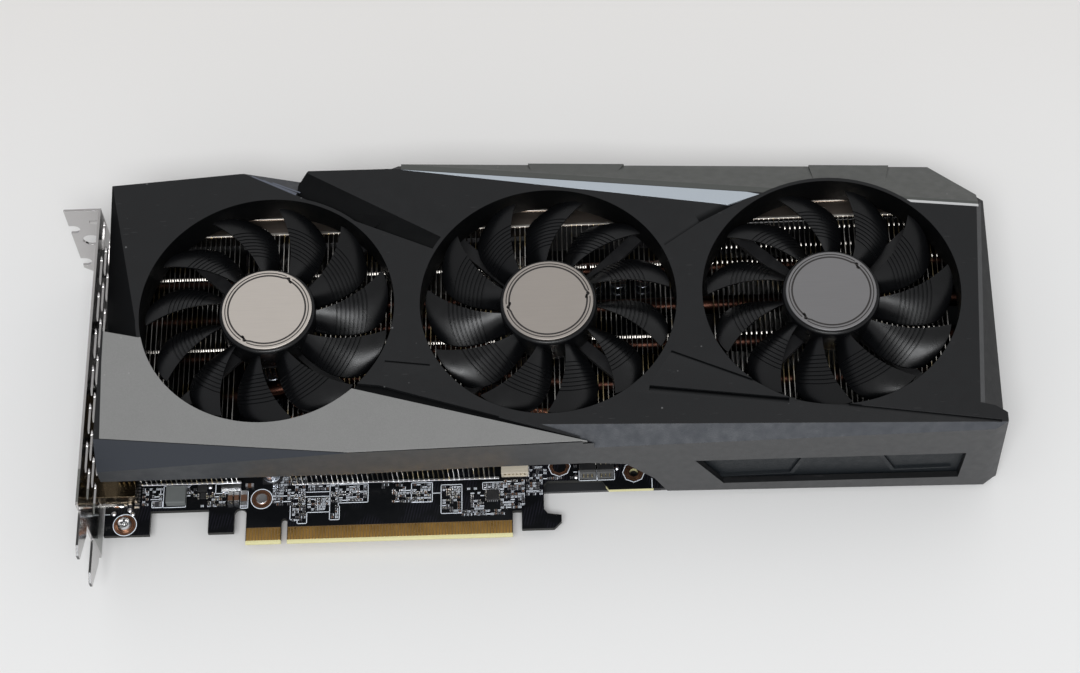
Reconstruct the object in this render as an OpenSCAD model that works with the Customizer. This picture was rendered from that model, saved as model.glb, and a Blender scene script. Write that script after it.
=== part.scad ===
// Triple-fan graphics card, lying on its backplate with its fans up.
// Drawn from the card's own datum: X from the bracket's inner face along the card, Y from the
// lower edge of the edge connector towards the top edge, Z up from the surface it lies on.
// Every node then moves to the frame of the part, whose origin is the middle of the footprint.

/* [Card] */
// Length from the bracket to the far end of the shroud
card_l = 283; // [281:1:290]
// Height of the top edge above the lower edge of the edge connector
top_y = 117; // [116.5:0.5:120]
// Thickness of the card, from its backplate to its fan side
face_z = 41; // [41:0.5:43]
// Wall thickness of the moulded shroud
wall = 2; // [1.6:0.1:2.2]

/* [Fans] */
// Distance between neighbouring fan axes
fan_pitch = 88.7; // [88:0.1:89.5]
// Place of the first fan axis along the card
fan_x = 55.1; // [54:0.1:56]
// Height of the fan axes above the edge connector
fan_y = 64.8; // [64:0.1:66]
// Radius of a fan opening in the shroud
opening_r = 40.3; // [40.3:0.1:41]
// Radius of the blade tips
tip_r = 39.3; // [36:0.1:39.4]
// Radius of the hub
hub_r = 15.3; // [15:0.1:16]
// Radius of the badge on the hub
badge_r = 14.2; // [12:0.1:14.8]
// Number of blades
blades = 11; // [7:1:13]
// Radius of the rotor shaft
shaft_r = 1; // [0.8:0.1:1.2]
// Radial running clearance of the shaft in its bearing
shaft_gap = 0.05; // [0.01:0.01:0.1]

/* [Circuit board] */
// Height of the underside of the board
board_z = 4.2; // [4:0.1:4.4]
// Thickness of the board
board_t = 1.6; // [1.57:0.01:1.7]
// Length of the board
board_l = 190; // [188:1:194]
// Length of the edge connector
edge_l = 84.3; // [84.3]
// Width of the key notch
key_w = 1.9; // [1.9]

/* [Heatsink] */
// Distance between neighbouring fins
fin_pitch = 2.4; // [2:0.1:3]
// Thickness of a fin
fin_t = 0.5; // [0.4:0.1:0.6]
// Height of the fin tops
fin_top = 26; // [25:0.5:26]
// Radius of a heat pipe
pipe_r = 3; // [3]

/* [Bracket] */
// Sheet thickness of the bracket
sheet = 0.8; // [0.8:0.01:0.9]
// Lowest edge of the bracket above the surface
bracket_z = 1.8; // [1.6:0.1:2]
// Width of the two-slot bracket
bracket_w = 38.7; // [38.7]
// Height of the top of its flange
flange_y = 104.4; // [104.4]
// Length of the flange
flange_l = 11.4; // [11:0.1:12]
// Distance between neighbouring expansion slots
slot_pitch = 20.32; // [20.32]

/* [Hidden] */
$fn = 64;

// Frame
tab_tip_y = flange_y - 120;
mid_x = (card_l - flange_l - sheet) / 2;
mid_y = (top_y + tab_tip_y) / 2;
eps = 0.01;
far = 400;
board_top = board_z + board_t;

// Fan levels, from the motor base up to the badge
fan_centres = [for (i = [0:2]) [fan_x + i * fan_pitch, fan_y]];
fan_hands = [1, -1, 1];
fan_phases = [-20, 15.5, -27];
base_z = 28;
base_t = 1.6;
ring_z = 30;
hub_z = 30.4;
hub_top = face_z - 1.2;
badge_t = 0.6;
cap_t = 1.5;
shaft_z = base_z + base_t + 0.2;
boss_reach = 46;
ear_t = 2;

// Outline of the shroud
left_x = 3.2;
wall_left_y = 13.4;
wall_dip = [82.2, 12.9];
wall_mid = [156, 14.2];
wall_right_y = 14.8;

// Lower edge of the trim plane where it meets the face
trim_a = [96, 115.2];
trim_b = [281, 93.6];
trim_drop = 9.7;
trim_run = 15.5;
trim_t = 1.2;
swelling_t = 0.9;

// Light panel
panel_t = 1.2;

// Heatsink
pipe_z = 14.5;
pipe_spread = [34, 48, 62, 76, 90];
pipe_close = [44, 53, 62, 71, 80];
bend_lap = 0.8;
plate_z = 8.4;
plate_t = 3;
gpu_at = [100, 62];
right_fins_x = 196;

// Edge connector
edge_x = 46.1;
key_x = edge_x + 11.2 + key_w / 2;
notch_top = 8.3;

module placed() {
    translate([-mid_x, -mid_y, 0]) children();
}

// Half-space on the far side of the plane through three points, counter-clockwise from outside
module beyond(p, q, r) {
    n = cross(q - p, r - p);
    tilt = acos(n[2] / norm(n));
    turn = atan2(n[1], n[0]);
    translate(p)
        rotate([0, tilt, turn])
            translate([-far / 2, -far / 2, 0])
                cube([far, far, far / 2]);
}

// Prism over a plan outline, from one level to another
module prism(outline, low, high) {
    translate([0, 0, low])
        linear_extrude(high - low)
            polygon(outline);
}

// Cut of triangular section on the left of a line: full depth along the line itself
module crease(from, to, width, depth) {
    run = to - from;
    translate([from[0], from[1], face_z])
        rotate([90, 0, 90 + atan2(run[1], run[0])])
            linear_extrude(norm(run))
                polygon([[0, -depth], [width, 0], [width, 1], [0, 1]]);
}

// A fastener or pin from one level to another
module post(at, low, high, r) {
    translate([at[0], at[1], low]) cylinder(h = high - low, r = r);
}

module box(low, high) {
    translate(low) cube(high - low);
}

function between(a, b, t) = a + (b - a) * t;

// ---------------------------------------------------------------- shroud

function cover_outline() = [
    [left_x, wall_left_y], wall_dip, wall_mid, [card_l - 4, wall_right_y],
    [card_l, wall_right_y + 2], [card_l, 97], [268, top_y], [96, top_y], [94, top_y - 1.6],
    [66.7, top_y - 1.4], [44.6, 115.4], [left_x, 112.4]
];

// Shape of the cover with its facets, drawn smaller by t for the cavity
module cover_solid(t) {
    difference() {
        linear_extrude(face_z - t) offset(delta = -t) polygon(cover_outline());
        translate([0, 0, -t]) cover_facets();
    }
}

module cover_facets() {
    trim_plane();
    left_facet();
    lower_bevel_left();
    lower_bevel_right();
    end_bevel();
    low_corner();
    slanted_band();
}

module trim_plane() {
    a = [trim_a[0], trim_a[1], face_z];
    b = [trim_b[0], trim_b[1], face_z];
    c = [213, trim_line_y(213) + trim_run, face_z - trim_drop];
    beyond(a, b, c);
}

function trim_line_y(x) =
    trim_a[1] + (trim_b[1] - trim_a[1]) * (x - trim_a[0]) / (trim_b[0] - trim_a[0]);

// Dark facet that falls from the left block towards the bracket
module left_facet() {
    intersection() {
        prism([[0, 118], [0, 59.4], [3.8, 58.5], [15, 55.9], [3.6, 112]], 30, 50);
        beyond([15, 55.9, face_z], [3.4, 112.6, face_z], [3.2, 70, face_z - 6.5]);
    }
}

module lower_bevel_left() {
    intersection() {
        prism([[0, 0], [156, 0], [156, 14.4], wall_dip + [0, 0.1], [5.1, 20.5], [0, 21]], 20, 50);
        beyond([5.1, 20.4, face_z], [3.7, wall_left_y, 32.3], [82.2, 12.9, face_z]);
    }
}

module lower_bevel_right() {
    intersection() {
        prism([[138, 22], [160, 13], [300, 0], [300, 26], [138, 26]], 20, 50);
        beyond([160, 20.2, face_z], [160, 14.2, 37], [282.6, 16.7, face_z]);
    }
}

module end_bevel() {
    intersection() {
        prism([[260, 24.6], [275, 23.6], [279.5, 22.4], [284, 19.2], [300, 19.2], [300, 100],
               [260, 100]], 20, 50);
        beyond([275.1, 23.5, face_z], [card_l, 60, 35.5], [280.4, 93.7, face_z]);
    }
}

// Facet that falls to the top edge between the left block and the middle block, whose own
// corner is cut off
module low_corner() {
    intersection() {
        prism([[44, 116.4], [47, 114.9], [63.4, 106.2], [63.4, 130], [44, 130]], 30, 50);
        beyond([47, 114.9, face_z], [63.4, 106.2, face_z], [64.4, 114.4, face_z - 6]);
    }
    prism([[63.3, 111.2], [63.4, 111.2], [66.9, 115.7], [66.9, 130], [63.3, 130]], face_z - 6.4, 50);
}

// Recessed band that runs from the top edge into the middle opening
module slanted_band() {
    intersection() {
        prism([[63.4, 106.5], [80.5, 96.9], [96.7, 89.5], [109, 84],
               [113, 87.5], [96.8, 96.8], [83.8, 105.7], [67.4, 115.2], [63.4, 130]], 30, 50);
        beyond([67.4, 114.5, face_z], [80, 97.2, 37.5], [111.3, 88.4, face_z]);
    }
}

// Everything below the lower edge of the walls
module skirt_cut() {
    translate([0, 30, 0])
        rotate([90, 0, 0])
            linear_extrude(40)
                polygon([[-10, -1], [-10, 25.4], [40, 25.9], [126, 27], [155, 26.6], [166.6, 25],
                         [175.4, 14.2], [179.4, 5], [279, 1.6], [card_l - 1, 3.5], [300, 3.5],
                         [300, -1]]);
    box([-10, 29, -1], [14, top_y - 12, 31]);
    box([-10, top_y - 13, -1], [14, 130, 20]);
    box([14, 60, -1], [194, 130, 8]);
}

module window_outline() {
    polygon([[188, 25.4], [197, 9.2], [270.5, 7.8], [271.6, 24.2]]);
}

module side_window() {
    translate([0, 24, 0]) rotate([90, 0, 0]) linear_extrude(20) window_outline();
}

module shroud() {
    placed() color("#26272a")
    difference() {
        union() {
            difference() {
                cover_solid(0);
                translate([0, 0, -1]) cover_solid(wall);
                box([-10, -10, -2], [400, 200, 1.2]);
            }
            for (c = fan_centres) {
                post(c, ring_z, face_z, opening_r + 1.2);
                ears(c);
            }
        }
        skirt_cut();
        side_window();
        power_gap();
        panel_recess();
        pale_recess();
        face_lines();
        for (c = fan_centres) {
            post(c, ring_z - 1, face_z + 1, opening_r);
            for (q = ear_points(c)) post(q, ring_z - 1, ring_z + 6, 1.1);
        }
    }
}

// Screw bosses of one fan, under the top wall and its slope
module ears(c) {
    difference() {
        for (q = ear_points(c)) post(q, ring_z, face_z - wall + 0.4, 3);
        trim_plane();
    }
}

function ear_points(c) = [for (a = [45:90:315]) c + boss_reach * [cos(a), sin(a)]];

// Gap in the top wall where the power leads plug in
module power_gap() {
    box([140, top_y - 8, 0], [192, 130, 24]);
}

module face_lines() {
    crease([181.1, 83.1], [192.5, 91.2], 1.2, 0.5);
    crease([192.5, 91.2], [209, 100.2], 3, 0.9);
    crease([216.6, 29.6], [181.8, 45.1], 1.2, 0.5);
    crease([217.2, 27.3], [174.6, 33.1], 2.2, 0.8);
    crease([281, 17.6], [219, 27.05], 1.4, 0.5);
    crease([106.8, 42.9], [92.8, 44.8], 1, 0.4);
    prism([[91.3, 36], [160, 13.6], [156.5, 13.3], [82.7, 35.3], [84, 37]], face_z - 1.1, 50);
}

// ---------------------------------------------------------------- inserts on the face

function panel_outline() = [
    [3.8, 58.5], [15, 55.9], [40, 60], [82.7, 35.3], [155.1, 14.6], wall_dip + [0, 0.25],
    [5.1, 20.6], [4, 47]
];

module panel_shape(low, high) {
    difference() {
        prism(panel_outline(), low, high);
        post(fan_centres[0], low - 1, high + 1, opening_r);
    }
}

module panel_recess() {
    difference() {
        prism(panel_outline(), face_z - panel_t, face_z + 1);
        post(fan_centres[0], face_z - 9, face_z + 2, opening_r);
    }
}

module front_panel() {
    placed() color("#8b8c8a") panel_shape(face_z - panel_t, face_z);
}

function pale_outline() = [
    [96.6, 115], [201.7, 97.4], [212, 101], [208, trim_line_y(208) - 0.1], [98, trim_line_y(98) - 0.1]
];

module pale_shape(low, high) {
    difference() {
        prism(pale_outline(), low, high);
        post(fan_centres[2], low - 1, high + 1, opening_r + 1.2);
    }
}

module pale_recess() {
    pale_shape(face_z - 1, face_z + 1);
}

module pale_trim() {
    placed() color("#b9c0c6") pale_shape(face_z - 1, face_z);
}

// Sheet that lies on the shroud's slope along the top edge, with two low swellings
module top_trim() {
    placed() color("#575856")
    difference() {
        union() {
            intersection() {
                trim_sheet(trim_t);
                prism([[97, 112], [268, 90], [281, 93], [281, 99.6], [card_l - 15.2, top_y],
                       [97, top_y]], 22, 60);
            }
            trim_swelling(138, 169, 113.5);
            trim_swelling(229, 255, 108);
        }
        post(fan_centres[2], 20, 60, opening_r + 1.25);
        box([90, 90, face_z], [300, 130, 60]);
        cover_body();
    }
}

// Solid below the slope, so that the sheet ends on it
module cover_body() {
    difference() {
        prism([[90, 80], [290, 80], [290, 130], [90, 130]], -1, face_z);
        trim_plane();
    }
}

module trim_sheet(t) {
    translate([0, 0, t])
        difference() {
            prism([[90, 80], [290, 80], [290, 130], [90, 130]], 20, face_z - t);
            trim_plane();
        }
}

// Wedge that thickens the sheet towards the top edge from the line y0 on
module trim_swelling(x1, x2, y0) {
    difference() {
        prism([[x1, top_y], [x1 + 1, y0], [x2 - 2, y0], [x2, top_y]], 22, face_z - 0.01);
        beyond([x1, y0, trim_z(x1, y0)], [x2, y0, trim_z(x2, y0)],
               [x2, top_y, trim_z(x2, top_y) + swelling_t]);
    }
}

function trim_z(x, y) = face_z + trim_t - trim_drop * (y - trim_line_y(x)) / trim_run;

// Dark panel a little way inside the side window, with low ribs
module side_grille() {
    placed() color("#1b1d20") {
        translate([0, wall_right_y + 3.4, 0])
            rotate([90, 0, 0])
                linear_extrude(1.2)
                    polygon([[184, 28.5], [194.5, 6.5], [274, 5.5], [275, 28.5]]);
        grille_rib([[217.6, 11], [219, 11], [223, 23.5], [221.6, 23.5]]);
        grille_rib([[244.2, 23.5], [245.6, 23.5], [250.8, 11], [249.4, 11]]);
        grille_rib([[194, 10], [219, 11], [219, 11.6], [194, 10.6]]);
        grille_rib([[250, 11], [268, 11.6], [268, 12.2], [250, 11.8]]);
    }
}

module grille_rib(outline) {
    translate([0, wall_right_y + 2.3, 0])
        rotate([90, 0, 0])
            linear_extrude(0.9) polygon(outline);
}

// ---------------------------------------------------------------- back

backplate_bosses = [[168.9, 20.8], [16, 98], [60, 101], [120, 101], [184, 92]];

module backplate() {
    placed() color("#2b2c2e")
    difference() {
        union() {
            prism([[3, 17], [card_l - 3, 17], [card_l - 1, 19], [card_l - 1, 96], [267, top_y - 2],
                   [3, top_y - 4]], 0, 1.2);
            for (b = backplate_bosses) post(b, 1, board_z, 3.2);
        }
        flow_window();
        for (b = backplate_bosses) post(b, 0.4, board_z + 1, 1.25);
        for (y = [36:6:90]) slot_cut(22, 50, y);
        for (y = [84:5:104]) slot_cut(140, 172, y);
    }
}

module flow_window() {
    prism([[204, 28], [268, 28], [272, 32], [272, 92], [262, 104], [204, 104], [200, 100], [200, 32]],
          -1, 3);
}

module slot_cut(x1, x2, y) {
    box([x1, y - 1, -1], [x2, y + 1, 3]);
    post([x1, y], -1, 3, 1);
    post([x2, y], -1, 3, 1);
}

// ---------------------------------------------------------------- board

function board_outline() = [
    [1, 4.1], [15.6, 4.1], [15.6, 12.2], [34.1, 12.2], [34.1, 4.1], [42.3, 4.1], [42.3, 10.4],
    [edge_x, 10.4], [edge_x, 0], [edge_x + edge_l, 0], [edge_x + edge_l, 8.6], [133.3, 8.6],
    [133.3, 2.2], [143.5, 2.2], [145.8, 4.5], [145.8, 6.8], [141.5, 7.4], [140.3, 9],
    [140.3, 17.4], [141.6, 18.6], [158.7, 18.4], [160.9, 14.9], [177.4, 14.9], [177.4, 17.4],
    [board_l, 17.4], [board_l, 100], [186, 108], [20, 108], [1, 98]
];

spring_points = [for (dx = [-1, 1], dy = [-1, 1]) gpu_at + 26 * [dx, dy]];
ring_holes = [[7.6, 7.7], [50.8, 15.4]];

module circuit_board() {
    placed() color("#111316")
    difference() {
        prism(board_outline(), board_z, board_top);
        post([(42.3 + edge_x) / 2, 10.4], 0, 10, 1.9);
        post([key_x, notch_top - key_w / 2], 0, 10, key_w / 2);
        box([key_x - key_w / 2, -1, 0], [key_x + key_w / 2, notch_top - key_w / 2, 10]);
        for (p = spring_points) post(p, 0, 10, 2);
        for (p = ring_holes) post(p, 0, 10, 1.6);
        for (p = backplate_bosses) post(p, 0, 10, 1.3);
        edge_chamfer(board_z);
        translate([0, 0, board_z + board_top]) mirror([0, 0, 1]) edge_chamfer(board_z);
    }
}

// Lead-in along the connector edge
module edge_chamfer(z) {
    translate([edge_x - 1, 0, z])
        rotate([90, 0, 90])
            linear_extrude(edge_l + 2)
                polygon([[-1, -1], [1, -1], [1, -0.01], [0.9, 0], [-0.01, 0.45], [-1, 0.45]]);
}

module contact_row(x1, x2) {
    for (x = [x1:1:x2]) box([x - 0.35, 1, board_top], [x + 0.35, 5.2, board_top + 0.05]);
    for (x = [x1:1:x2]) box([x - 0.35, 1, board_z - 0.05], [x + 0.35, 5.2, board_z]);
}

module edge_contacts() {
    placed() color("#c9a24a") {
        contact_row(edge_x + 0.7, key_x - 1.3);
        contact_row(key_x + 1.6, edge_x + edge_l - 0.5);
    }
}

module gpu_package() {
    placed() color("#1d3a2a")
    difference() {
        translate([gpu_at[0] - 18.75, gpu_at[1] - 18.75, board_top]) cube([37.5, 37.5, 1.6]);
        translate([gpu_at[0] - 18.75, gpu_at[1] - 18.75, board_top + 1])
            rotate([0, 0, 45]) cube([3, 3, 4], center = true);
    }
}

module gpu_die() {
    placed() color("#4b4f57")
    box([gpu_at[0] - 9, gpu_at[1] - 8, board_top + 1.6], [gpu_at[0] + 9, gpu_at[1] + 8, plate_z]);
}

memory_places = [
    [gpu_at[0] - 28, 48], [gpu_at[0] - 28, 76], [gpu_at[0] - 10, 92], [gpu_at[0] + 10, 92],
    [gpu_at[0] + 28, 48], [gpu_at[0] + 28, 76]
];

module chip_block(at, size, low, high) {
    box([at[0] - size[0] / 2, at[1] - size[1] / 2, low], [at[0] + size[0] / 2, at[1] + size[1] / 2, high]);
}

module memory_chips() {
    placed() color("#18191b")
    for (m = memory_places) chip_block(m, [12, 13], board_top, board_top + 1.1);
}

module memory_pads() {
    placed() color("#8f9aa6")
    for (m = memory_places) chip_block(m, [12, 13], board_top + 1.1, plate_z);
}

// Frame of plate round the cold plate, over the memory
module memory_plate() {
    placed() color("#a9abad")
    difference() {
        box([gpu_at[0] - 36, 40, plate_z], [gpu_at[0] + 36, 99, plate_z + 2]);
        box([gpu_at[0] - 22, 39, plate_z - 1], [gpu_at[0] + 22, 84, plate_z + 4]);
        for (p = spring_points) post(p, 0, 20, 3.4);
    }
}

power_rows = [for (i = [0:7]) [32, 37 + 7.6 * i]];

module power_stages() {
    placed() color("#17181a")
    for (p = power_rows) chip_block(p + [-9, 0], [6, 5], board_top, board_top + 0.9);
}

module power_pads() {
    placed() color("#8f9aa6")
    box([19, 34, board_top + 0.9], [27, 93.5, plate_z]);
}

module power_plate() {
    placed() color("#a9abad")
    box([18, 32, plate_z], [28, 95, plate_z + 2.4]);
}

module power_chokes() {
    placed() color("#5b5d60")
    for (p = power_rows) chip_block(p + [4, 0], [7.2, 7], board_top, board_top + 5.4);
}

can_places = concat([[54, 23.4]], [for (i = [0:6]) [53.4, 32.7 + 8.4 * i]], [for (i = [0:3]) [150 + 8 * i, 88]]);

module can_capacitors() {
    placed() color("#2f3033")
    for (c = can_places) {
        post(c, board_top, board_top + 5.2, 3);
        post(c, board_top + 5.2, board_top + 5.5, 2.6);
    }
}

// Small parts in short rows along the strip below the shroud
chip_rows = [
    [29.5, 17.2, 3], [30, 14.4, 4], [56, 14.4, 8], [60, 18.4, 7], [80, 13, 7], [98, 18, 7],
    [102, 14.2, 7], [121, 17.4, 5]
];

module chip_capacitors() {
    placed() color("#7a5a3c")
    for (r = chip_rows) for (i = [0:r[2] - 1])
        chip_block([r[0] + 2.4 * i, r[1]], [1.6, 0.9], board_top, board_top + 0.8);
}

module front_choke() {
    placed() color("#6f7371")
    chip_block([23.7, 16.7], [6.4, 6], board_top, board_top + 3);
}

module clock_crystal() {
    placed() color("#9aa0a4")
    chip_block([41, 19.4], [6.4, 2.8], board_top, board_top + 1.1);
}

module header_body(x, y, w, d, h) {
    difference() {
        box([x, y, board_top], [x + w, y + d, board_top + h]);
        box([x + 0.8, y - 1, board_top + 0.8], [x + w - 0.8, y + d - 0.8, board_top + h - 0.8]);
    }
}

module fan_headers() {
    placed() color("#d8d2c0") {
        header_body(127, 20.4, 8.6, 3.6, 3);
        header_body(151.8, 18.8, 5.2, 3.4, 4.8);
        header_body(157.4, 18.8, 5.2, 3.4, 4.8);
    }
}

// A screw by the bracket, a flat pin end beside the connector, and the screws into the backplate
module board_screws() {
    placed() color("#b7b9bb") {
        post(ring_holes[0], board_top, board_top + 2, 2.2);
        post(ring_holes[1], board_top, board_top + 0.4, 1.8);
        for (p = ring_holes) {
            post(p, board_z - 1.8, board_top + 0.1, 1.5);
            post(p, board_z - 2.4, board_z, 2.6);
        }
        for (i = [1:4]) {
            post(backplate_bosses[i], board_top, board_top + 1.2, 2.3);
            post(backplate_bosses[i], 1.2, board_top + 0.2, 1.2);
        }
    }
}

// ---------------------------------------------------------------- sockets

socket_ys = [22.4, 44, 65.6, 87.2];
socket_front = -0.6;
socket_back = 11.5;
tongue_x = 4.4;
socket_z = board_top;
socket_h = 6;

module socket_shell(y, w, chamfer) {
    translate([socket_front, y, socket_z + socket_h / 2])
        rotate([90, 0, 90])
            difference() {
                linear_extrude(socket_back - socket_front) socket_section(w, socket_h, chamfer);
                translate([0, 0, -1])
                    linear_extrude(socket_back - socket_front)
                        socket_section(w - 1, socket_h - 1, chamfer);
            }
}

module socket_section(w, h, c) {
    polygon([[-w / 2 + c, -h / 2], [w / 2 - c, -h / 2], [w / 2, -h / 2 + c], [w / 2, h / 2],
             [-w / 2, h / 2], [-w / 2, -h / 2 + c]]);
}

module hdmi_sockets() {
    placed() color("#c2a35e")
    for (i = [0, 1]) socket_shell(socket_ys[i], 15.4, 1.4);
}

module displayport_sockets() {
    placed() color("#b9bbbd")
    for (i = [2, 3]) socket_shell(socket_ys[i], 16.6, 0.6);
}

module socket_tongues() {
    placed() color("#17181a")
    for (y = socket_ys)
        box([tongue_x, y - 6, socket_z + 2.5], [socket_back - 1, y + 6, socket_z + 3.5]);
}

power_y = [97.4, 110.4];
power_low = board_top;
power_h = 10.4;

module power_body(x, pairs) {
    w = pairs * 4.2 + 1.4;
    difference() {
        box([x, power_y[0], power_low], [x + w, power_y[1], power_low + power_h]);
        for (i = [0:pairs - 1], j = [0, 1])
            power_hole(x + 2.8 + 4.2 * i, power_low + 3 + 4.2 * j);
    }
    box([x + w / 2 - 2, power_y[0] + 4, power_low + power_h - 0.1],
        [x + w / 2 + 2, power_y[0] + 6, power_low + power_h + 1.6]);
}

module power_hole(x, z) {
    box([x - 1.6, power_y[0] + 3, z - 1.6], [x + 1.6, power_y[1] + 1, z + 1.6]);
}

module power_socket_8() {
    placed() color("#141517") power_body(144, 4);
}

module power_socket_6() {
    placed() color("#141517") power_body(165, 3);
}

module pin_set(x, pairs) {
    for (i = [0:pairs - 1], j = [0, 1])
        box([x + 2.8 + 4.2 * i - 0.5, power_y[0] + 3, power_low + 2.5 + 4.2 * j],
            [x + 2.8 + 4.2 * i + 0.5, power_y[1] - 2, power_low + 3.5 + 4.2 * j]);
}

module power_pins() {
    placed() color("#c8b27a") {
        pin_set(144, 4);
        pin_set(165, 3);
    }
}

// ---------------------------------------------------------------- bracket

vent_rows = 4;
vent_l = 10.5;
vent_w = 3.2;
vent_step = 13.4;

module vent(y, z) {
    box([-5, y - vent_l / 2 + vent_w / 2, z - vent_w / 2], [5, y + vent_l / 2 - vent_w / 2, z + vent_w / 2]);
    for (s = [-1, 1])
        translate([-5, y + s * (vent_l - vent_w) / 2, z])
            rotate([0, 90, 0]) cylinder(h = 10, r = vent_w / 2);
}

// Plate in the plane of Y and Z, seen from the board's side
module bracket_plate() {
    tab_low = [5.1, 5.1 + slot_pitch];
    translate([-sheet, 0, 0])
        rotate([90, 0, 90])
            linear_extrude(sheet) {
                polygon([[-1.5, bracket_z], [flange_y, bracket_z],
                         [flange_y, bracket_z + bracket_w], [-1.5, bracket_z + bracket_w]]);
                for (z = tab_low)
                    polygon([[0, z], [-5, z], [tab_tip_y, z + 6.2], [tab_tip_y, z + 8.5],
                             [-12.6, z + 10.2], [0, z + 10.2]]);
            }
}

notch_zs = [9, 9 + slot_pitch];
flange_hole = [-6.2, 22.6];
bracket_screw_ys = [33.2, 76.4];
flange_hole_r = 3;
notch_r = 2.2;

module bracket_flange() {
    difference() {
        box([-sheet - flange_l, flange_y - sheet, bracket_z], [0, flange_y, bracket_z + bracket_w]);
        for (z = notch_zs) {
            box([-20, flange_y - 3, z - notch_r], [-11, flange_y + 3, z + notch_r]);
            across_y(-11, z, notch_r);
        }
        across_y(flange_hole[0], flange_hole[1], flange_hole_r);
        translate([-sheet - flange_l, flange_y - 3, bracket_z])
            rotate([0, 45, 0]) cube([5, 10, 5], center = true);
    }
}

module across_y(x, z, r) {
    translate([x, flange_y + 3, z]) rotate([90, 0, 0]) cylinder(h = 6, r = r);
}

module bracket() {
    placed() color("#b4b2ae")
    difference() {
        union() {
            bracket_plate();
            bracket_flange();
            box([-sheet, 10.8, 12.2], [8.4, 11.6, 13.2]);
        }
        for (y = socket_ys)
            box([-5, y - 8.9, socket_z - 0.4], [5, y + 8.9, socket_z + socket_h + 0.4]);
        for (y = bracket_screw_ys)
            translate([-5, y, socket_z + 3]) rotate([0, 90, 0]) cylinder(h = 10, r = 1.2);
        for (i = [0:vent_rows - 1], j = [0:6])
            vent(11.5 + vent_step * j + (i % 2) * vent_step / 2, 17.6 + 5.3 * i);
    }
}

module bracket_screws() {
    placed() color("#8d8f91")
    for (y = bracket_screw_ys)
        translate([-sheet - 1.4, y, socket_z + 3])
            rotate([0, 90, 0]) {
                cylinder(h = 1.4, r = 1.9);
                cylinder(h = 9, r = 1.2);
            }
}

// ---------------------------------------------------------------- heatsink

// Front edges of the fins, and the level of their underside over different parts of the board
bare_y = 20.5;
left_lip_y = 19.9;
middle_lip_y = 18.6;
lip_back_y = 30;
lip_z = 9;
high_z = 17.8;
low_z = 12.6;
end_z = 13;
right_z = 6;
gap_y = 52;
step_y = 91;
step_z = 18.6;
fin_y = 107.4;
left_fins_x = 5.6;
left_fins_end = 189;
right_fins_end = 270.8;

// Folded ties that hold the fins apart along their tops
tie_ys = [40, 59, 85.4];
right_tie_ys = [40, 59, 85.4, 92];
tie_w = 1.6;
front_tie = [24.5, 2];
back_tie = [104.3, 7];

module fin(outline, holes) {
    rotate([90, 0, 90])
        linear_extrude(fin_t)
            difference() {
                polygon(outline);
                for (y = holes) translate([y, pipe_z]) circle(r = pipe_r + 0.05);
            }
}

module fin_row(x1, x2, outline, holes) {
    for (x = [x1:fin_pitch:x2]) translate([x, 0, 0]) fin(outline, holes);
}

// Strip across the tops of the fins, given by its middle and its width along Y
module tie(x1, x2, place) {
    box([x1, place[0] - place[1] / 2, fin_top - 0.4], [x2, place[0] + place[1] / 2, fin_top]);
}

// A fin seen from its side: a lip behind its front edge y, then a level underside
function fin_side(y, lip, low) = [
    [y, lip], [lip_back_y, lip], [lip_back_y, low], [fin_y, low], [fin_y, fin_top], [y, fin_top]
];

function plain_side(low) = [[bare_y, low], [fin_y, low], [fin_y, fin_top], [bare_y, fin_top]];

// A fin that leaves the front open over the first bend of the pipes
function gap_side(low) = [[gap_y, low], [fin_y, low], [fin_y, fin_top], [gap_y, fin_top]];

// A fin that steps up behind, over the power sockets
function stepped_side(low) = [
    [bare_y, low], [step_y, low], [step_y, step_z], [fin_y, step_z], [fin_y, fin_top], [bare_y, fin_top]
];

module fin_stack_left() {
    placed() color("#9b9da0") {
        fin_row(left_fins_x, 10.4, plain_side(end_z), pipe_spread);
        fin_row(12.8, 44, fin_side(left_lip_y, lip_z, end_z), pipe_spread);
        fin_row(46.4, 59, gap_side(high_z), []);
        fin_row(60.8, 125.6, fin_side(middle_lip_y, lip_z, high_z), []);
        fin_row(128, 142, plain_side(high_z), []);
        fin_row(144.8, 154, stepped_side(high_z), []);
        fin_row(156.8, left_fins_end, stepped_side(low_z), pipe_spread);
        for (y = tie_ys) tie(left_fins_x, left_fins_end, [y, tie_w]);
        tie(left_fins_x, left_fins_end, front_tie);
        tie(left_fins_x, left_fins_end, back_tie);
    }
}

module fin_stack_right() {
    placed() color("#9b9da0") {
        fin_row(right_fins_x, right_fins_end, plain_side(right_z), pipe_spread);
        for (y = right_tie_ys) tie(right_fins_x, right_fins_end, [y, tie_w]);
        tie(right_fins_x, right_fins_end, back_tie);
    }
}

// Pipe that spreads from the cold plate towards both ends
module heat_pipe(y_end, y_mid) {
    stops = [[12.4, y_end], [45.5, y_end], [74, y_mid], [126, y_mid], [155, y_end], [276, y_end]];
    for (i = [0:4]) {
        run = stops[i + 1] - stops[i];
        translate([stops[i][0], stops[i][1], pipe_z])
            rotate([0, 90, atan2(run[1], run[0])])
                translate([0, 0, -bend_lap]) cylinder(h = norm(run) + 2 * bend_lap, r = pipe_r);
    }
}

module heat_pipes() {
    placed() color("#b9714a")
    for (i = [0:4]) heat_pipe(pipe_spread[i], pipe_close[i]);
}

module cold_plate() {
    placed() color("#c0815b")
    box([gpu_at[0] - 22, 39, plate_z], [gpu_at[0] + 22, 84, plate_z + plate_t]);
}

module spring_screws() {
    placed() color("#b7b9bb")
    for (p = spring_points) {
        post(p, board_z - 2.8, board_z - 1.4, 3);
        post(p, board_z - 1.6, plate_z, 1.5);
        post(p, plate_z, plate_z + 2, 3.4);
    }
}

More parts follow.
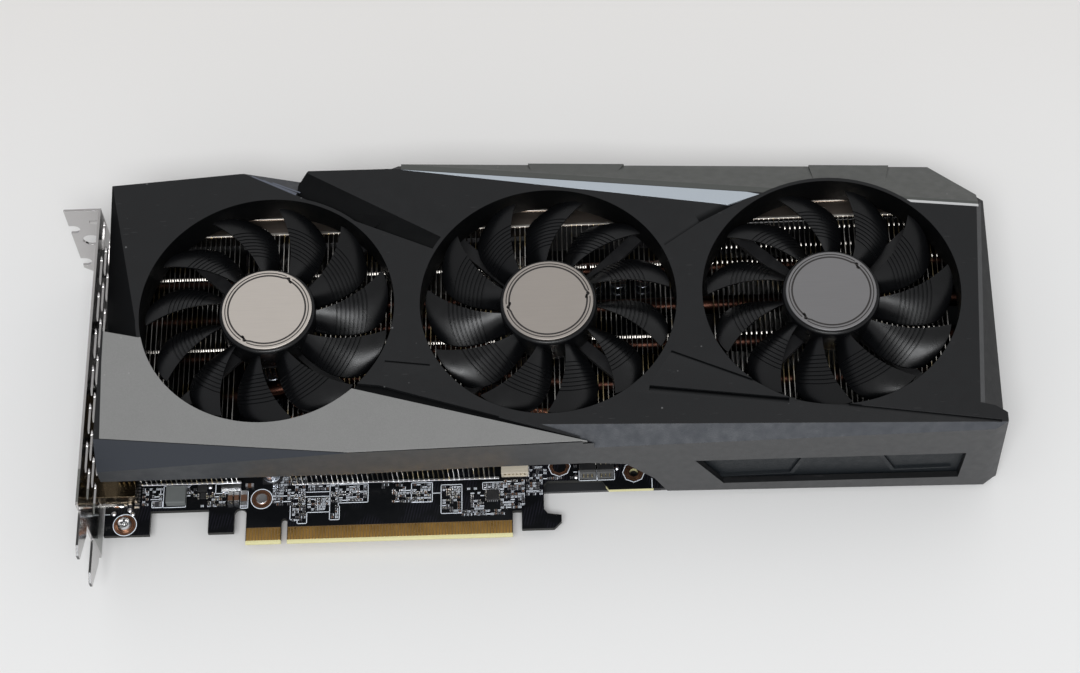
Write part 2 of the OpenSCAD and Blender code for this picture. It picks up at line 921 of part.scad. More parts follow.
module screw_springs() {
    placed() color("#cfd1d3")
    for (p = spring_points) difference() {
        post(p, board_z - 1.4, board_z, 2.8);
        post(p, board_z - 2, board_z + 1, 1.55);
    }
}

// ---------------------------------------------------------------- fans

// Motor base: a disc with four arms that end in screw ears under the shroud
module fan_base(c) {
    placed() color("#1a1b1d")
    difference() {
        union() {
            post(c, base_z, base_z + base_t, 14.4);
            post(c, base_z + base_t - eps, 36.6, 4);
            for (a = [45:90:315])
                translate([c[0], c[1], base_z]) rotate([0, 0, a])
                    translate([10, -2, 0]) cube([boss_reach - 10, 4, base_t]);
            for (q = ear_points(c)) post(q, base_z, base_z + ear_t, 3);
        }
        post(c, base_z + base_t, 50, 3);
        for (q = ear_points(c)) post(q, base_z - 1, base_z + 5, 1.3);
    }
}

// Laminated core with nine wound poles
module stator(c) {
    placed() color("#a4663c")
    translate([c[0], c[1], 31.4])
        difference() {
            union() {
                cylinder(h = 5, r = 6);
                for (i = [0:8]) rotate([0, 0, 40 * i]) translate([5, -1.2, 0.6]) cube([6.6, 2.4, 3.8]);
            }
            translate([0, 0, -1]) cylinder(h = 7, r = 4);
        }
}

module bearing(c) {
    placed() color("#8a7a55")
    translate([c[0], c[1], base_z + base_t])
        difference() {
            cylinder(h = 7, r = 3);
            translate([0, 0, -1]) cylinder(h = 9, r = shaft_r + shaft_gap);
        }
}

module shaft(c) {
    placed() color("#c9cbcd") post(c, shaft_z, hub_top - cap_t, shaft_r);
}

module magnet(c) {
    placed() color("#3b3c40")
    translate([c[0], c[1], 31.2])
        difference() {
            cylinder(h = 6.6, r = hub_r - 1.5);
            translate([0, 0, -1]) cylinder(h = 9, r = hub_r - 2.9);
        }
}

// Blade edges as angles: s is 0 at the hub and 1 at the tip
function lead_angle(s) = -12 + 20.5 * s;
function trail_angle(s) = -28 + 12 * s * s + 3 * pow(s, 6);
function lead_z(s) = 38.1 - 0.5 * pow(1 - s, 2);
function trail_z(s) = 31.8 + 0.3 * s;
function tip_reach(u) = tip_r - 3 * pow(1 - u, 2) - 0.8 * pow(u, 4);
blade_r0 = hub_r - 0.8;
stations = 6;
chords = 3;

// Point of the blade: s along the span, u across the chord, side +1 above and -1 below
function blade_point(s, u, side) =
    let (r = between(blade_r0, tip_reach(u), s))
    let (a = between(trail_angle(s), lead_angle(s), u))
    let (half = 0.35 + 0.35 * sin(180 * u))
    let (z = between(trail_z(s), lead_z(s), u) + 0.5 * sin(180 * u) + side * half)
    [r * cos(a), r * sin(a), z];

// Rings of points round the blade's section, one ring per station
function blade_ring(s) = concat(
    [for (k = [0:chords]) blade_point(s, k / chords, 1)],
    [for (k = [chords:-1:0]) blade_point(s, k / chords, -1)]
);

module blade() {
    n = 2 * (chords + 1);
    points = [for (i = [0:stations - 1]) each blade_ring(i / (stations - 1))];
    sides = [for (i = [0:stations - 2], k = [0:n - 1])
        each [[i * n + k, i * n + (k + 1) % n, (i + 1) * n + k],
              [i * n + (k + 1) % n, (i + 1) * n + (k + 1) % n, (i + 1) * n + k]]];
    root_cap = [for (k = [1:n - 2]) [0, k + 1, k]];
    last = (stations - 1) * n;
    tip_cap = [for (k = [1:n - 2]) [last, last + k, last + k + 1]];
    polyhedron(points, concat(sides, root_cap, tip_cap));
}

module rotor(i) {
    placed() color("#1c1d20")
    translate([fan_centres[i][0], fan_centres[i][1], 0])
        rotate([0, 0, fan_phases[i]])
        mirror([0, fan_hands[i] < 0 ? 1 : 0, 0])
            union() {
                difference() {
                    translate([0, 0, hub_z]) cylinder(h = hub_top - hub_z, r = hub_r);
                    translate([0, 0, hub_z - 1])
                        cylinder(h = hub_top - cap_t - hub_z + 1, r = hub_r - 1.5);
                }
                for (k = [0:blades - 1]) rotate([0, 0, k * 360 / blades]) blade();
            }
}

module badge(c) {
    placed() color("#bdb6ac") post(c, hub_top, hub_top + badge_t, badge_r);
}

module fan_screws() {
    placed() color("#6e7073")
    for (c = fan_centres, q = ear_points(c)) {
        post(q, base_z - 1.2, base_z, 2.2);
        post(q, base_z - 0.2, ring_z + 5, 1.1);
    }
}

// One flat lead from each motor base, clipped along the arm towards the lower edge
module fan_leads() {
    placed() color("#101113")
    for (c = fan_centres)
        translate([c[0], c[1], base_z - 0.9])
            rotate([0, 0, 315]) translate([12, -1.6, 0]) cube([26, 3.2, 0.9]);
}

shroud();
front_panel();
pale_trim();
top_trim();
side_grille();
backplate();
circuit_board();
edge_contacts();
gpu_package();
gpu_die();
memory_chips();
memory_pads();
memory_plate();
power_stages();
power_pads();
power_plate();
power_chokes();
can_capacitors();
chip_capacitors();
front_choke();
clock_crystal();
fan_headers();
board_screws();
hdmi_sockets();
displayport_sockets();
socket_tongues();
power_socket_8();
power_socket_6();
power_pins();
bracket();
bracket_screws();
fin_stack_left();
fin_stack_right();
heat_pipes();
cold_plate();
spring_screws();
screw_springs();
fan_screws();
fan_leads();
fan_base(fan_centres[0]);  // fan_base_1
fan_base(fan_centres[1]);  // fan_base_2
fan_base(fan_centres[2]);  // fan_base_3
stator(fan_centres[0]);  // stator_1
stator(fan_centres[1]);  // stator_2
stator(fan_centres[2]);  // stator_3
bearing(fan_centres[0]);  // bearing_1
bearing(fan_centres[1]);  // bearing_2
bearing(fan_centres[2]);  // bearing_3
rotor(0);  // rotor_1
rotor(1);  // rotor_2
rotor(2);  // rotor_3
magnet(fan_centres[0]);  // magnet_1
magnet(fan_centres[1]);  // magnet_2
magnet(fan_centres[2]);  // magnet_3
shaft(fan_centres[0]);  // shaft_1
shaft(fan_centres[1]);  // shaft_2
shaft(fan_centres[2]);  // shaft_3
badge(fan_centres[0]);  // badge_1
badge(fan_centres[1]);  // badge_2
badge(fan_centres[2]);  // badge_3
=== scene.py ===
"""Looks of a triple-fan graphics card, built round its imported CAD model."""

import math
import random

import bmesh
import bpy
from mathutils import Matrix, Vector


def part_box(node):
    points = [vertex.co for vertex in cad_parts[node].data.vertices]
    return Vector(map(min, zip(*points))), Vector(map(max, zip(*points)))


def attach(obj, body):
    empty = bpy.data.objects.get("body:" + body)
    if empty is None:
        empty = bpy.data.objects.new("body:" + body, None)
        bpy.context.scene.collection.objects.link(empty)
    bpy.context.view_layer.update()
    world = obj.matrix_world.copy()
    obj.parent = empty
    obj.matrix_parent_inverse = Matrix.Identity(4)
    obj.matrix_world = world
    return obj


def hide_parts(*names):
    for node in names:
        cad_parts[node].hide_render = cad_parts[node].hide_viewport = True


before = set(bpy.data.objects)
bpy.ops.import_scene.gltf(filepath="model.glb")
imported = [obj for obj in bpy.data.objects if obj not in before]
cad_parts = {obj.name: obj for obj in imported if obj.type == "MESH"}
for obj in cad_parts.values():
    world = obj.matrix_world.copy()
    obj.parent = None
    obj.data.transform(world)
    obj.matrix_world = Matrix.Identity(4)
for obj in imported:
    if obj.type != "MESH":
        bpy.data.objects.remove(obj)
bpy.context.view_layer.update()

# ------------------------------------------------------------------ units and places
# Pieces are drawn in millimetres of the card's datum: X from the bracket's inner face, Y from
# the lower edge of the edge connector, Z from the surface the card lies on.

MM = 0.001
BOARD_START = 1
DATUM = Vector((
    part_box("circuit_board")[0].x - BOARD_START * MM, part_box("circuit_board")[0].y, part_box("backplate")[0].z
))
TO_FRAME = Matrix.Translation(DATUM) @ Matrix.Scale(MM, 4)


def corners(node):
    """Lowest and highest corner of a CAD node, in millimetres of the datum."""
    low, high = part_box(node)
    return (low - DATUM) / MM, (high - DATUM) / MM


def middle(node):
    low, high = corners(node)
    return (low + high) / 2


def solids(node):
    """Lowest and highest corner of each separate solid of a CAD node."""
    mesh = bmesh.new()
    mesh.from_mesh(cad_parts[node].data)
    bmesh.ops.remove_doubles(mesh, verts=mesh.verts, dist=1e-6)
    seen = set()
    found = []
    for start in mesh.verts:
        if start in seen:
            continue
        seen.add(start)
        group = [start]
        for vertex in group:
            for edge in vertex.link_edges:
                other = edge.other_vert(vertex)
                if other not in seen:
                    seen.add(other)
                    group.append(other)
        places = [(v.co - DATUM) / MM for v in group]
        low = Vector([min(p[i] for p in places) for i in range(3)])
        high = Vector([max(p[i] for p in places) for i in range(3)])
        found.append((low, high))
    mesh.free()
    return found


FANS = [middle(f"shaft_{i}") for i in (1, 2, 3)]
BOARD_LOW, BOARD_HIGH = corners("circuit_board")
BOARD_TOP = BOARD_HIGH.z
FACE_Z = corners("shroud")[1].z
OPENING_R = 40.36


# ------------------------------------------------------------------ materials

class Nodes:
    """A node tree under construction."""

    def __init__(self, tree):
        self.tree = tree

    def node(self, kind, **values):
        """A new node. Names in lower case are its settings, and names with a capital its sockets."""
        made = self.tree.nodes.new("ShaderNode" + kind)
        for key, value in values.items():
            if key[0].islower():
                setattr(made, key, value)
            else:
                self.feed(made.inputs[key.replace("_", " ")], value)
        return made

    def feed(self, socket, value):
        if isinstance(value, bpy.types.NodeSocket):
            self.tree.links.new(value, socket)
        else:
            socket.default_value = value

    def part(self, place, axis):
        return self.node("SeparateXYZ", Vector=place).outputs[axis]

    def maths(self, operation, first, second=0.5):
        made = self.node("Math", operation=operation)
        self.feed(made.inputs[0], first)
        self.feed(made.inputs[1], second)
        return made.outputs[0]

    def spread(self, value, low, high, start=0.0, end=1.0):
        """The value mapped from start..end to low..high, and held there."""
        made = self.node(
            "MapRange", Value=value, From_Min=start, From_Max=end, To_Min=low, To_Max=high
        )
        return made.outputs[0]

    def mixed(self, share, first, second):
        made = self.node("Mix", data_type="RGBA")
        self.feed(made.inputs[0], share)
        for socket, colour in ((made.inputs[6], first), (made.inputs[7], second)):
            self.feed(socket, colour if isinstance(colour, bpy.types.NodeSocket) else (*colour, 1))
        return made.outputs[2]


class Look(Nodes):
    """A node material under construction. Its place is in millimetres of the object's space."""

    def __init__(self, name, colour, **shader):
        self.material = bpy.data.materials.new(name)
        self.material.use_nodes = True
        self.material.diffuse_color = (*colour, 1)
        super().__init__(self.material.node_tree)
        self.shader = self.tree.nodes["Principled BSDF"]
        self.shader.inputs["Base Color"].default_value = (*colour, 1)
        for key, value in shader.items():
            self.shader.inputs[key.replace("_", " ")].default_value = value
        self.coordinates = self.node("TexCoord")
        scaled = self.node(
            "VectorMath", operation="SCALE", Vector=self.coordinates.outputs["Object"], Scale=1 / MM
        )
        self.place = scaled.outputs[0]

    def turned(self, angle=0, stretch=(1, 1, 1)):
        """The place turned about Z and stretched, for grain that runs one way."""
        mapping = self.node(
            "Mapping", Vector=self.place, Rotation=(0, 0, math.radians(angle)), Scale=stretch
        )
        return mapping.outputs[0]

    def noise(self, size, detail=3.0, place=None):
        made = self.node("TexNoise", Vector=place or self.place, Scale=1 / size, Detail=detail)
        return made.outputs["Fac"]

    def cells(self, size, output="Distance"):
        return self.node("TexVoronoi", Vector=self.place, Scale=1 / size).outputs[output]

    def stripes(self, pitch, direction="X", place=None):
        made = self.node(
            "TexWave", bands_direction=direction, Vector=place or self.place,
            Scale=math.tau / 20 / pitch
        )
        return made.outputs["Fac"]

    def normal(self, axis):
        return self.part(self.coordinates.outputs["Normal"], axis)

    def facing(self, axis):
        """How squarely the surface faces along an axis, from 0 to 1."""
        return self.maths("ABSOLUTE", self.normal(axis))

    def datum(self, axis):
        """The place along one axis of the card's datum."""
        return self.maths("SUBTRACT", self.part(self.place, axis), DATUM[axis] / MM)

    def above(self, value, low):
        """1 where the value is above a level, and 0 elsewhere."""
        return self.maths("GREATER_THAN", value, low)

    def below(self, value, high):
        return self.maths("LESS_THAN", value, high)

    def within(self, value, low, high):
        return self.both(self.above(value, low), self.below(value, high))

    def both(self, *masks):
        """1 where all the masks are 1."""
        total = masks[0]
        for mask in masks[1:]:
            total = self.maths("MULTIPLY", total, mask)
        return total

    def blend(self, first, second):
        """Six parts of the first value and four of the second."""
        return self.maths("ADD", self.maths("MULTIPLY", first, 0.6), self.maths("MULTIPLY", second, 0.4))

    def plain(self):
        """The colour that is painted so far."""
        return self.shader.inputs["Base Color"].links[0].from_socket

    def repainted(self, mask, colour):
        """Changes the colour where the mask is 1."""
        self.colour(self.mixed(mask, self.plain(), colour))

    def toned(self, level, colour, tone):
        """Paints a colour a share darker where the level is 0 and as much lighter where it is 1."""
        dark, light = (tuple(c * factor for c in colour) for factor in (1 - tone, 1 + tone))
        self.colour(self.mixed(level, dark, light))

    def colour(self, value):
        self.feed(self.shader.inputs["Base Color"], value)

    def rough(self, value, limits):
        """Roughness between two limits, spread over the middle of a noise's range."""
        self.feed(self.shader.inputs["Roughness"], self.spread(value, *limits, 0.3, 0.7))

    def bump(self, height, depth):
        """Adds a relief of the given depth in millimetres over the reliefs already there."""
        socket = self.shader.inputs["Normal"]
        made = self.node("Bump", Height=height, Distance=depth * MM)
        if socket.is_linked:
            self.feed(made.inputs["Normal"], socket.links[0].from_socket)
        self.feed(socket, made.outputs[0])


def moulded(name, colour, grain=0.35, depth=0.02, rough=(0.42, 0.56), tone=0.12, **shader):
    """Moulded plastic: a fine eroded grain and slightly cloudy colour."""
    look = Look(name, colour, **shader)
    look.toned(look.noise(9, 4), colour, tone)
    look.rough(look.noise(3, 5), rough)
    look.bump(look.noise(grain, 2), depth)
    return look


def with_dust(look, dust=(0.42, 0.42, 0.42), size=8):
    """Scattered specks and short hairline scratches over a look's colour."""
    specks = look.spread(look.cells(size), 0.22, 0, 0.03, 0.05)
    hairs = look.noise(1, 0, look.turned(34, (0.22, 7, 1)))
    scratches = look.spread(hairs, 0, 0.14, 0.84, 0.88)
    look.repainted(look.maths("MAXIMUM", specks, scratches), dust)
    return look


def brushed(name, colour, turn=0, rough=(0.22, 0.4), depth=0.004, tone=0.1, **shader):
    """Metal with a fine grain that runs one way."""
    look = Look(name, colour, Metallic=1.0, **shader)
    lines = look.noise(0.14, 3, look.turned(turn, (0.02, 1, 1)))
    look.toned(lines, colour, tone)
    look.rough(look.blend(lines, look.noise(11, 3)), rough)
    look.bump(lines, depth)
    return look


def satin_metal(name, colour, rough=(0.25, 0.4), tone=0.08, depth=0.006, **shader):
    """Plated or cast metal without a direction, with slightly uneven tarnish."""
    look = Look(name, colour, Metallic=1.0, **shader)
    cloud = look.noise(4, 5)
    look.toned(cloud, colour, tone)
    look.rough(cloud, rough)
    look.bump(look.noise(0.6, 3), depth)
    return look


def flaked_paint(name, colour, rough=(0.3, 0.42), flake=0.18, tone=0.1, **shader):
    """Metallic paint: a fine sparkle of flakes under a satin surface."""
    look = Look(name, colour, **shader)
    sparkle = look.node("SeparateColor", Color=look.cells(flake, "Color")).outputs[0]
    look.toned(look.blend(sparkle, look.noise(14, 3)), colour, tone)
    look.rough(look.noise(5, 4), rough)
    look.bump(look.noise(0.45, 2), 0.008)
    return look


def shroud_look():
    """Charcoal plastic. The faces turned to the lower edge are painted paler as painted light,
    and darker towards the left as painted shade. Some facets and the far end's bevel carry painted
    highlights, and the recesses and the walls of the fan openings are painted near black as painted shade."""
    gloss, painted_shade_gloss = 0.33, 0.1
    colour = (0.0068, 0.0072, 0.008)
    look = moulded("shroud_plastic", colour, 0.3, 0.035, (0.4, 0.52), Specular_IOR_Level=gloss)
    with_dust(look)
    x, y, z = (look.datum(axis) for axis in range(3))
    lean = look.normal(1)
    upward = look.facing(2)
    under_face = FACE_Z - 0.05
    near_edge = look.below(y, 24)
    # Painted light: the lower wall is painted paler where it faces the window light.
    low_wall = look.both(look.below(lean, -0.88), near_edge)
    look.repainted(low_wall, (0.048, 0.0485, 0.05))
    # Painted shade: towards the left the lower wall is painted darker and bluer.
    look.repainted(look.both(low_wall, look.spread(x, 1, 0, 60, 150)), (0.026, 0.029, 0.0335))
    # Painted light: the bevel above the lower wall is painted lighter and bluer.
    lit_low_bevel = look.both(look.within(lean, -0.88, -0.3), near_edge, look.within(z, FACE_Z - 10, under_face))
    look.repainted(lit_low_bevel, (0.025, 0.029, 0.037))
    # Painted reflection: the facet by the middle block's corner is painted lighter and bluer.
    corner = look.both(look.within(x, 47, 64), look.above(y, 106), look.within(upward, 0.5, 0.93))
    look.repainted(corner, (0.02, 0.023, 0.03))
    # Painted highlight: a lighter line along the start of the far end's bevel.
    far_rim_highlight = look.both(look.within(z, FACE_Z - 1.6, FACE_Z - 0.02), look.within(look.normal(0), 0.3, 0.9),
                        look.above(x, 270))
    look.repainted(far_rim_highlight, (0.045, 0.046, 0.048))

    # Painted shade: groove sides and floors, the facet by the bracket, the slanted band and the walls of the fan
    # openings are painted near black and less glossy.
    level = 0.994
    sloping = look.within(z, FACE_Z - 7, under_face)
    slant = look.maths("ADD", look.maths("MULTIPLY", x, 0.55), y)
    groove_sides = look.both(look.within(upward, 0.88, level), look.above(z, FACE_Z - 1.2),
                             look.spread(z, 1, 0, FACE_Z - 0.55, under_face))
    groove_floors = look.both(look.above(upward, level), look.within(z, FACE_Z - 1.2, FACE_Z - 0.4))
    bracket_facet = look.both(look.within(upward, 0.6, 0.93), look.below(x, 15.5), sloping,
                              look.within(y, 56, 112.5))
    slanted_band = look.both(look.within(x, 63.2, 112), look.within(slant, 140.2, 156), sloping,
                             look.above(upward, 0.3))
    dark = opening_mask(look, x, y)
    for mask in (groove_sides, groove_floors, bracket_facet, slanted_band):
        dark = look.maths("MAXIMUM", dark, mask)
    look.repainted(dark, (0.0015, 0.0017, 0.002))
    look.feed(look.shader.inputs["Specular IOR Level"], look.spread(dark, gloss, painted_shade_gloss))
    return look


def opening_mask(look, x, y):
    """1 on the walls of the three fan openings, and 0 elsewhere."""
    total = 0
    for centre in FANS:
        across = look.maths("POWER", look.maths("SUBTRACT", x, centre.x), 2)
        along = look.maths("POWER", look.maths("SUBTRACT", y, centre.y), 2)
        inside = look.below(look.maths("ADD", across, along), OPENING_R ** 2)
        total = look.maths("MAXIMUM", total, inside)
    return total


def top_look():
    """Satin grey plastic with a painted highlight: a bright line along its lower edge, towards the far end."""
    look = with_dust(moulded("top_trim", (0.062, 0.065, 0.06), 0.3, 0.03, tone=0.03))
    x, y = look.datum(0), look.datum(1)
    # Painted highlight: a bright line along the lower edge of the far end.
    slope, start, width = 0.11676, 126.91, 0.4
    from_edge = look.maths("SUBTRACT", look.maths("ADD", y, look.maths("MULTIPLY", x, slope)), start)
    look.repainted(look.both(look.within(x, 226, 290), look.below(from_edge, width)), (0.5, 0.5, 0.5))
    return look


def board_look():
    """Black solder mask with faint traces. The laminate is bare along the connector's lead-in and
    pale on one stretch of the board's edge."""
    mask = (0.004, 0.0045, 0.0055)
    look = Look("solder_mask", mask, Specular_IOR_Level=0.12)
    x, y = look.datum(0), look.datum(1)
    runs = look.stripes(0.9, "X", look.turned(12))
    patches = look.spread(look.noise(9, 1), 0, 1, 0.5, 0.56)
    traces = look.both(look.spread(runs, 0, 1, 0.55, 0.7), patches)
    side = look.spread(look.facing(2), 1, 0, 0.3, 0.7)
    look.colour(look.mixed(traces, mask, (0.011, 0.011, 0.016)))
    look.repainted(side, (0.022, 0.022, 0.02))
    pale_edge = look.both(look.within(x, 160, 175), side, look.below(y, 30))
    lead_in = look.below(y, 0.98)
    laminate = look.mixed(look.noise(0.5), (0.62, 0.58, 0.3), (0.72, 0.68, 0.4))
    look.repainted(look.maths("MAXIMUM", lead_in, pale_edge), laminate)
    look.rough(look.noise(1.5, 4), (0.3, 0.45))
    look.bump(traces, 0.03)
    return look


def fin_look():
    """Thin aluminium sheet: bright on its edges and folds, with its faces down the narrow gaps painted near
    black as painted shade, and patches tinted brass as a painted warm reflection.
    """
    look = brushed("fin_aluminium", (0.7, 0.68, 0.64), 90, (0.24, 0.38))
    # Painted reflection: patches tinted brass, for the warm glints of the copper pipes.
    look.repainted(look.spread(look.noise(7, 2), 0, 1, 0.52, 0.6), (0.5, 0.4, 0.22))
    # Painted shade: the faces that look across the narrow gaps are painted near black.
    look.repainted(look.spread(look.facing(0), 0, 1, 0.5, 0.9), (0.045, 0.044, 0.042))
    return look


def badge_look(i):
    """Disc of brushed aluminium, with its grain along the fan's own rest angle, and its tone painted lighter or
    darker per fan as a painted reflection.
    """
    return brushed(f"badge_metal_{i + 1}", BADGE_REFLECTION_TONES[i], -BADGE_TURNS[i], (0.28, 0.38), 0.005, 0.06)


def nickel_look():
    """Nickel plate, with a painted highlight on the lip over the board, a painted reflection of the dark board
    on the plate below it, and dull cut edges on the tabs.
    """
    look = brushed("nickel", (0.54, 0.525, 0.52), 90, (0.1, 0.2), 0.002, 0.06)
    x, y = look.datum(0), look.datum(1)
    inner_face = 0.05
    cut_edge = look.both(look.below(y, -1.6), look.below(look.facing(0), 0.5))
    look.repainted(cut_edge, (0.1, 0.1, 0.1))
    # Painted highlight: the lip over the board is painted near white, where it catches the window light.
    lip = look.both(look.above(x, inner_face), look.below(y, 12))
    look.repainted(lip, (1, 0.98, 0.94))
    # Painted reflection: the plate below the lip is painted darker, for the dark board it mirrors.
    plate_board_reflection = look.both(look.within(y, -0.5, 10.7), look.below(x, inner_face))
    look.repainted(plate_board_reflection, (0.26, 0.265, 0.25))
    return look


def pipe_look():
    """Copper pipes: painted dark as painted shade deep inside the fins, and clean copper along the front."""
    # Painted shade: the base colour is near black for the pipes deep inside the fins; the front is repainted in
    # copper's own colour.
    look = satin_metal("pipe_copper", (0.045, 0.02, 0.014), (0.25, 0.4), 0.3)
    look.repainted(look.below(look.datum(1), 38.5), (0.8, 0.36, 0.22))
    return look


def ribbed(look, pitch, direction, depth):
    """Adds even ribs to a look, such as the strands of a lead or the turns of a winding."""
    look.bump(look.stripes(pitch, direction), depth)
    return look


def floor_look():
    look = Look("table", (0.79, 0.785, 0.775))
    look.colour(look.mixed(look.noise(160, 3), (0.78, 0.775, 0.765), (0.8, 0.797, 0.79)))
    # Painted shade: the table is painted darker and warmer towards the back, behind the card.
    look.repainted(look.spread(look.datum(1), 0, 1, 90, 420), (0.73, 0.69, 0.645))
    look.rough(look.noise(60, 3), (0.45, 0.55))
    look.bump(look.noise(1.2, 4), 0.01)
    return look


LOOKS = {
    "shroud": shroud_look(),
    "panel": with_dust(flaked_paint("panel_paint", (0.25, 0.25, 0.245), Metallic=0.35), (0.5, 0.5, 0.48), 9),
    "pale": flaked_paint("pale_paint", (0.5, 0.55, 0.6), (0.3, 0.4), 0.12, 0.04, Metallic=0.5),
    "top": top_look(),
    "grille": moulded("grille", (0.009, 0.0115, 0.014), 0.5, 0.08, (0.4, 0.55), Specular_IOR_Level=0.3),
    "backplate": with_dust(flaked_paint("backplate_paint", (0.028, 0.029, 0.031))),
    "board": board_look(),
    "gold": satin_metal("gold", (0.72, 0.42, 0.12), (0.25, 0.4)),
    "package": moulded("package", (0.015, 0.055, 0.03), 0.5, 0.01, Coat_Weight=0.3),
    "silicon": satin_metal("silicon", (0.2, 0.21, 0.24), (0.06, 0.12), 0.05, 0.001),
    "resin": moulded("chip_resin", (0.013, 0.013, 0.014), 0.15, 0.015, (0.5, 0.65)),
    "pad": moulded("thermal_pad", (0.3, 0.35, 0.42), 0.5, 0.06, (0.7, 0.85)),
    "fins": fin_look(),
    "lip": brushed("folded_edge", (0.86, 0.86, 0.88), 0, (0.3, 0.45)),
    "plate": brushed("plate_aluminium", (0.66, 0.64, 0.61), 0, (0.25, 0.4)),
    "ferrite": moulded("ferrite", (0.13, 0.14, 0.138), 0.2, 0.05, (0.6, 0.75), 0.18),
    "can": brushed("can_aluminium", (0.62, 0.66, 0.72), 0, (0.2, 0.32)),
    "ceramic": moulded("ceramic", (0.12, 0.06, 0.035), 0.25, 0.02, (0.4, 0.55), 0.25),
    "body_black": moulded("resistor_film", (0.05, 0.05, 0.055), 0.25, 0.01, (0.3, 0.45)),
    "solder": satin_metal("solder", (0.85, 0.86, 0.9), (0.25, 0.4), 0.1, 0.02),
    "crystal": brushed("crystal_can", (0.55, 0.56, 0.57), 0, (0.25, 0.35)),
    "cream": moulded("header_plastic", (0.62, 0.56, 0.45), 0.4, 0.015, (0.45, 0.6)),
    "steel": satin_metal("screw_steel", (0.6, 0.6, 0.61), (0.2, 0.34)),
    "dark_steel": satin_metal("black_screw", (0.07, 0.07, 0.075), (0.3, 0.45)),
    "ring": satin_metal("plated_ring", (0.34, 0.17, 0.1), (0.35, 0.5), 0.15, 0.02),
    "socket_gold": brushed("socket_gold", (0.17, 0.13, 0.08), 90, (0.16, 0.3)),
    "socket_steel": brushed("socket_steel", (0.6, 0.6, 0.6), 90, (0.25, 0.4)),
    "black": moulded("black_plastic", (0.011, 0.011, 0.012), 0.4, 0.02, (0.4, 0.55)),
    "tin": satin_metal("pin_tin", (0.68, 0.58, 0.34), (0.25, 0.4)),
    "nickel": nickel_look(),
    "copper": satin_metal("copper", (0.72, 0.3, 0.15), (0.22, 0.38), 0.15),
    "pipe": pipe_look(),
    "lead": ribbed(moulded("lead_jacket", (0.01, 0.01, 0.011), 0.4, 0.02, (0.45, 0.6)), 1.1, "Y", 0.15),
    "winding": ribbed(
        satin_metal("winding", (0.55, 0.2, 0.08), (0.2, 0.35), Coat_Weight=0.4), 0.35, "Z", 0.1
    ),
    "lamination": brushed("lamination", (0.3, 0.29, 0.28), 0, (0.4, 0.55)),
    "bronze": satin_metal("bronze", (0.4, 0.3, 0.15), (0.35, 0.5), 0.15, 0.03),
    "blade": moulded(
        "blade_plastic", (0.0028, 0.003, 0.0035), 0.22, 0.02, (0.26, 0.34), Specular_IOR_Level=0.3
    ),
    "magnet": satin_metal("magnet", (0.05, 0.05, 0.055), (0.45, 0.6)),
    "bright": satin_metal("bright_flange", (0.85, 0.84, 0.82), (0.2, 0.35)),
    "bare": moulded("bare_laminate", (0.2, 0.12, 0.045), 0.3, 0.01, (0.4, 0.55)),
    "header_grey": moulded("header_grey", (0.085, 0.085, 0.085), 0.4, 0.02, (0.5, 0.65)),
    "ink": moulded("badge_ink", (0.02, 0.017, 0.016), 0.3, 0.004, (0.4, 0.5)),
    "silkscreen": moulded("silkscreen", (0.88, 0.93, 1.0), 0.12, 0.01, (0.55, 0.7), 0.12),
    "tab": satin_metal("folded_tab", (0.5, 0.47, 0.43), (0.3, 0.45), 0.04),
    "cream_edge": satin_metal("cream_edge", (0.95, 0.9, 0.82), (0.3, 0.45), 0.04),
    "fin_plate": brushed("fin_plate", (0.36, 0.3, 0.26), 0, (0.3, 0.45)),
    # Painted highlight: the raised ridges are painted lighter and bluer than the shroud.
    "ridge": moulded("ridge_plastic", (0.1, 0.11, 0.14), 0.3, 0.02),
}


# ------------------------------------------------------------------ making pieces

def add_object(name, data):
    """A new object of the scene that shows a mesh, a light or a camera."""
    made = bpy.data.objects.new(name, data)
    bpy.context.scene.collection.objects.link(made)
    return made


def mesh_of(shape, name):
    """The mesh of a bmesh, which is used up."""
    mesh = bpy.data.meshes.new(name)
    shape.to_mesh(mesh)
    shape.free()
    return mesh


def finish_piece(name, mesh, looks, body, stands_for=(), smooth=30):
    """Shows a mesh that is already in the frame as a piece that rides on a body."""
    made = add_object(name, mesh)
    for look in looks:
        mesh.materials.append(LOOKS[look].material if isinstance(look, str) else look.material)
    mesh.shade_smooth()
    mesh.set_sharp_from_angle(angle=math.radians(smooth))
    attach(made, body)
    if stands_for:
        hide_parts(*stands_for)
    return made


def piece(name, shape, looks, body, stands_for=(), smooth=30):
    """A piece from a bmesh that is drawn in millimetres of the datum."""
    bmesh.ops.transform(shape, matrix=TO_FRAME, verts=shape.verts)
    bmesh.ops.recalc_face_normals(shape, faces=shape.faces)
    finish_piece(name, mesh_of(shape, name), looks, body, stands_for, smooth)


def softened(node, look, width, body="card"):
    """The CAD node's own shape with its edges rounded, standing for the node."""
    name = node + "_finished"
    shape = bmesh.new()
    shape.from_mesh(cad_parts[node].data)
    bmesh.ops.remove_doubles(shape, verts=shape.verts, dist=1e-6)
    bmesh.ops.dissolve_degenerate(shape, edges=shape.edges, dist=1e-6)
    bmesh.ops.dissolve_limit(
        shape, angle_limit=math.radians(0.5), verts=shape.verts, edges=shape.edges
    )
    mesh = mesh_of(shape, name)
    if "custom_normal" in mesh.attributes:
        mesh.attributes.remove(mesh.attributes["custom_normal"])
    made = finish_piece(name, mesh, [look], body, [node], smooth=35)
    edges = made.modifiers.new("edges", "BEVEL")
    edges.width = width * MM
    edges.segments = 2
    edges.limit_method = "ANGLE"
    edges.angle_limit = math.radians(28)
    edges.harden_normals = True
    edges.use_clamp_overlap = True


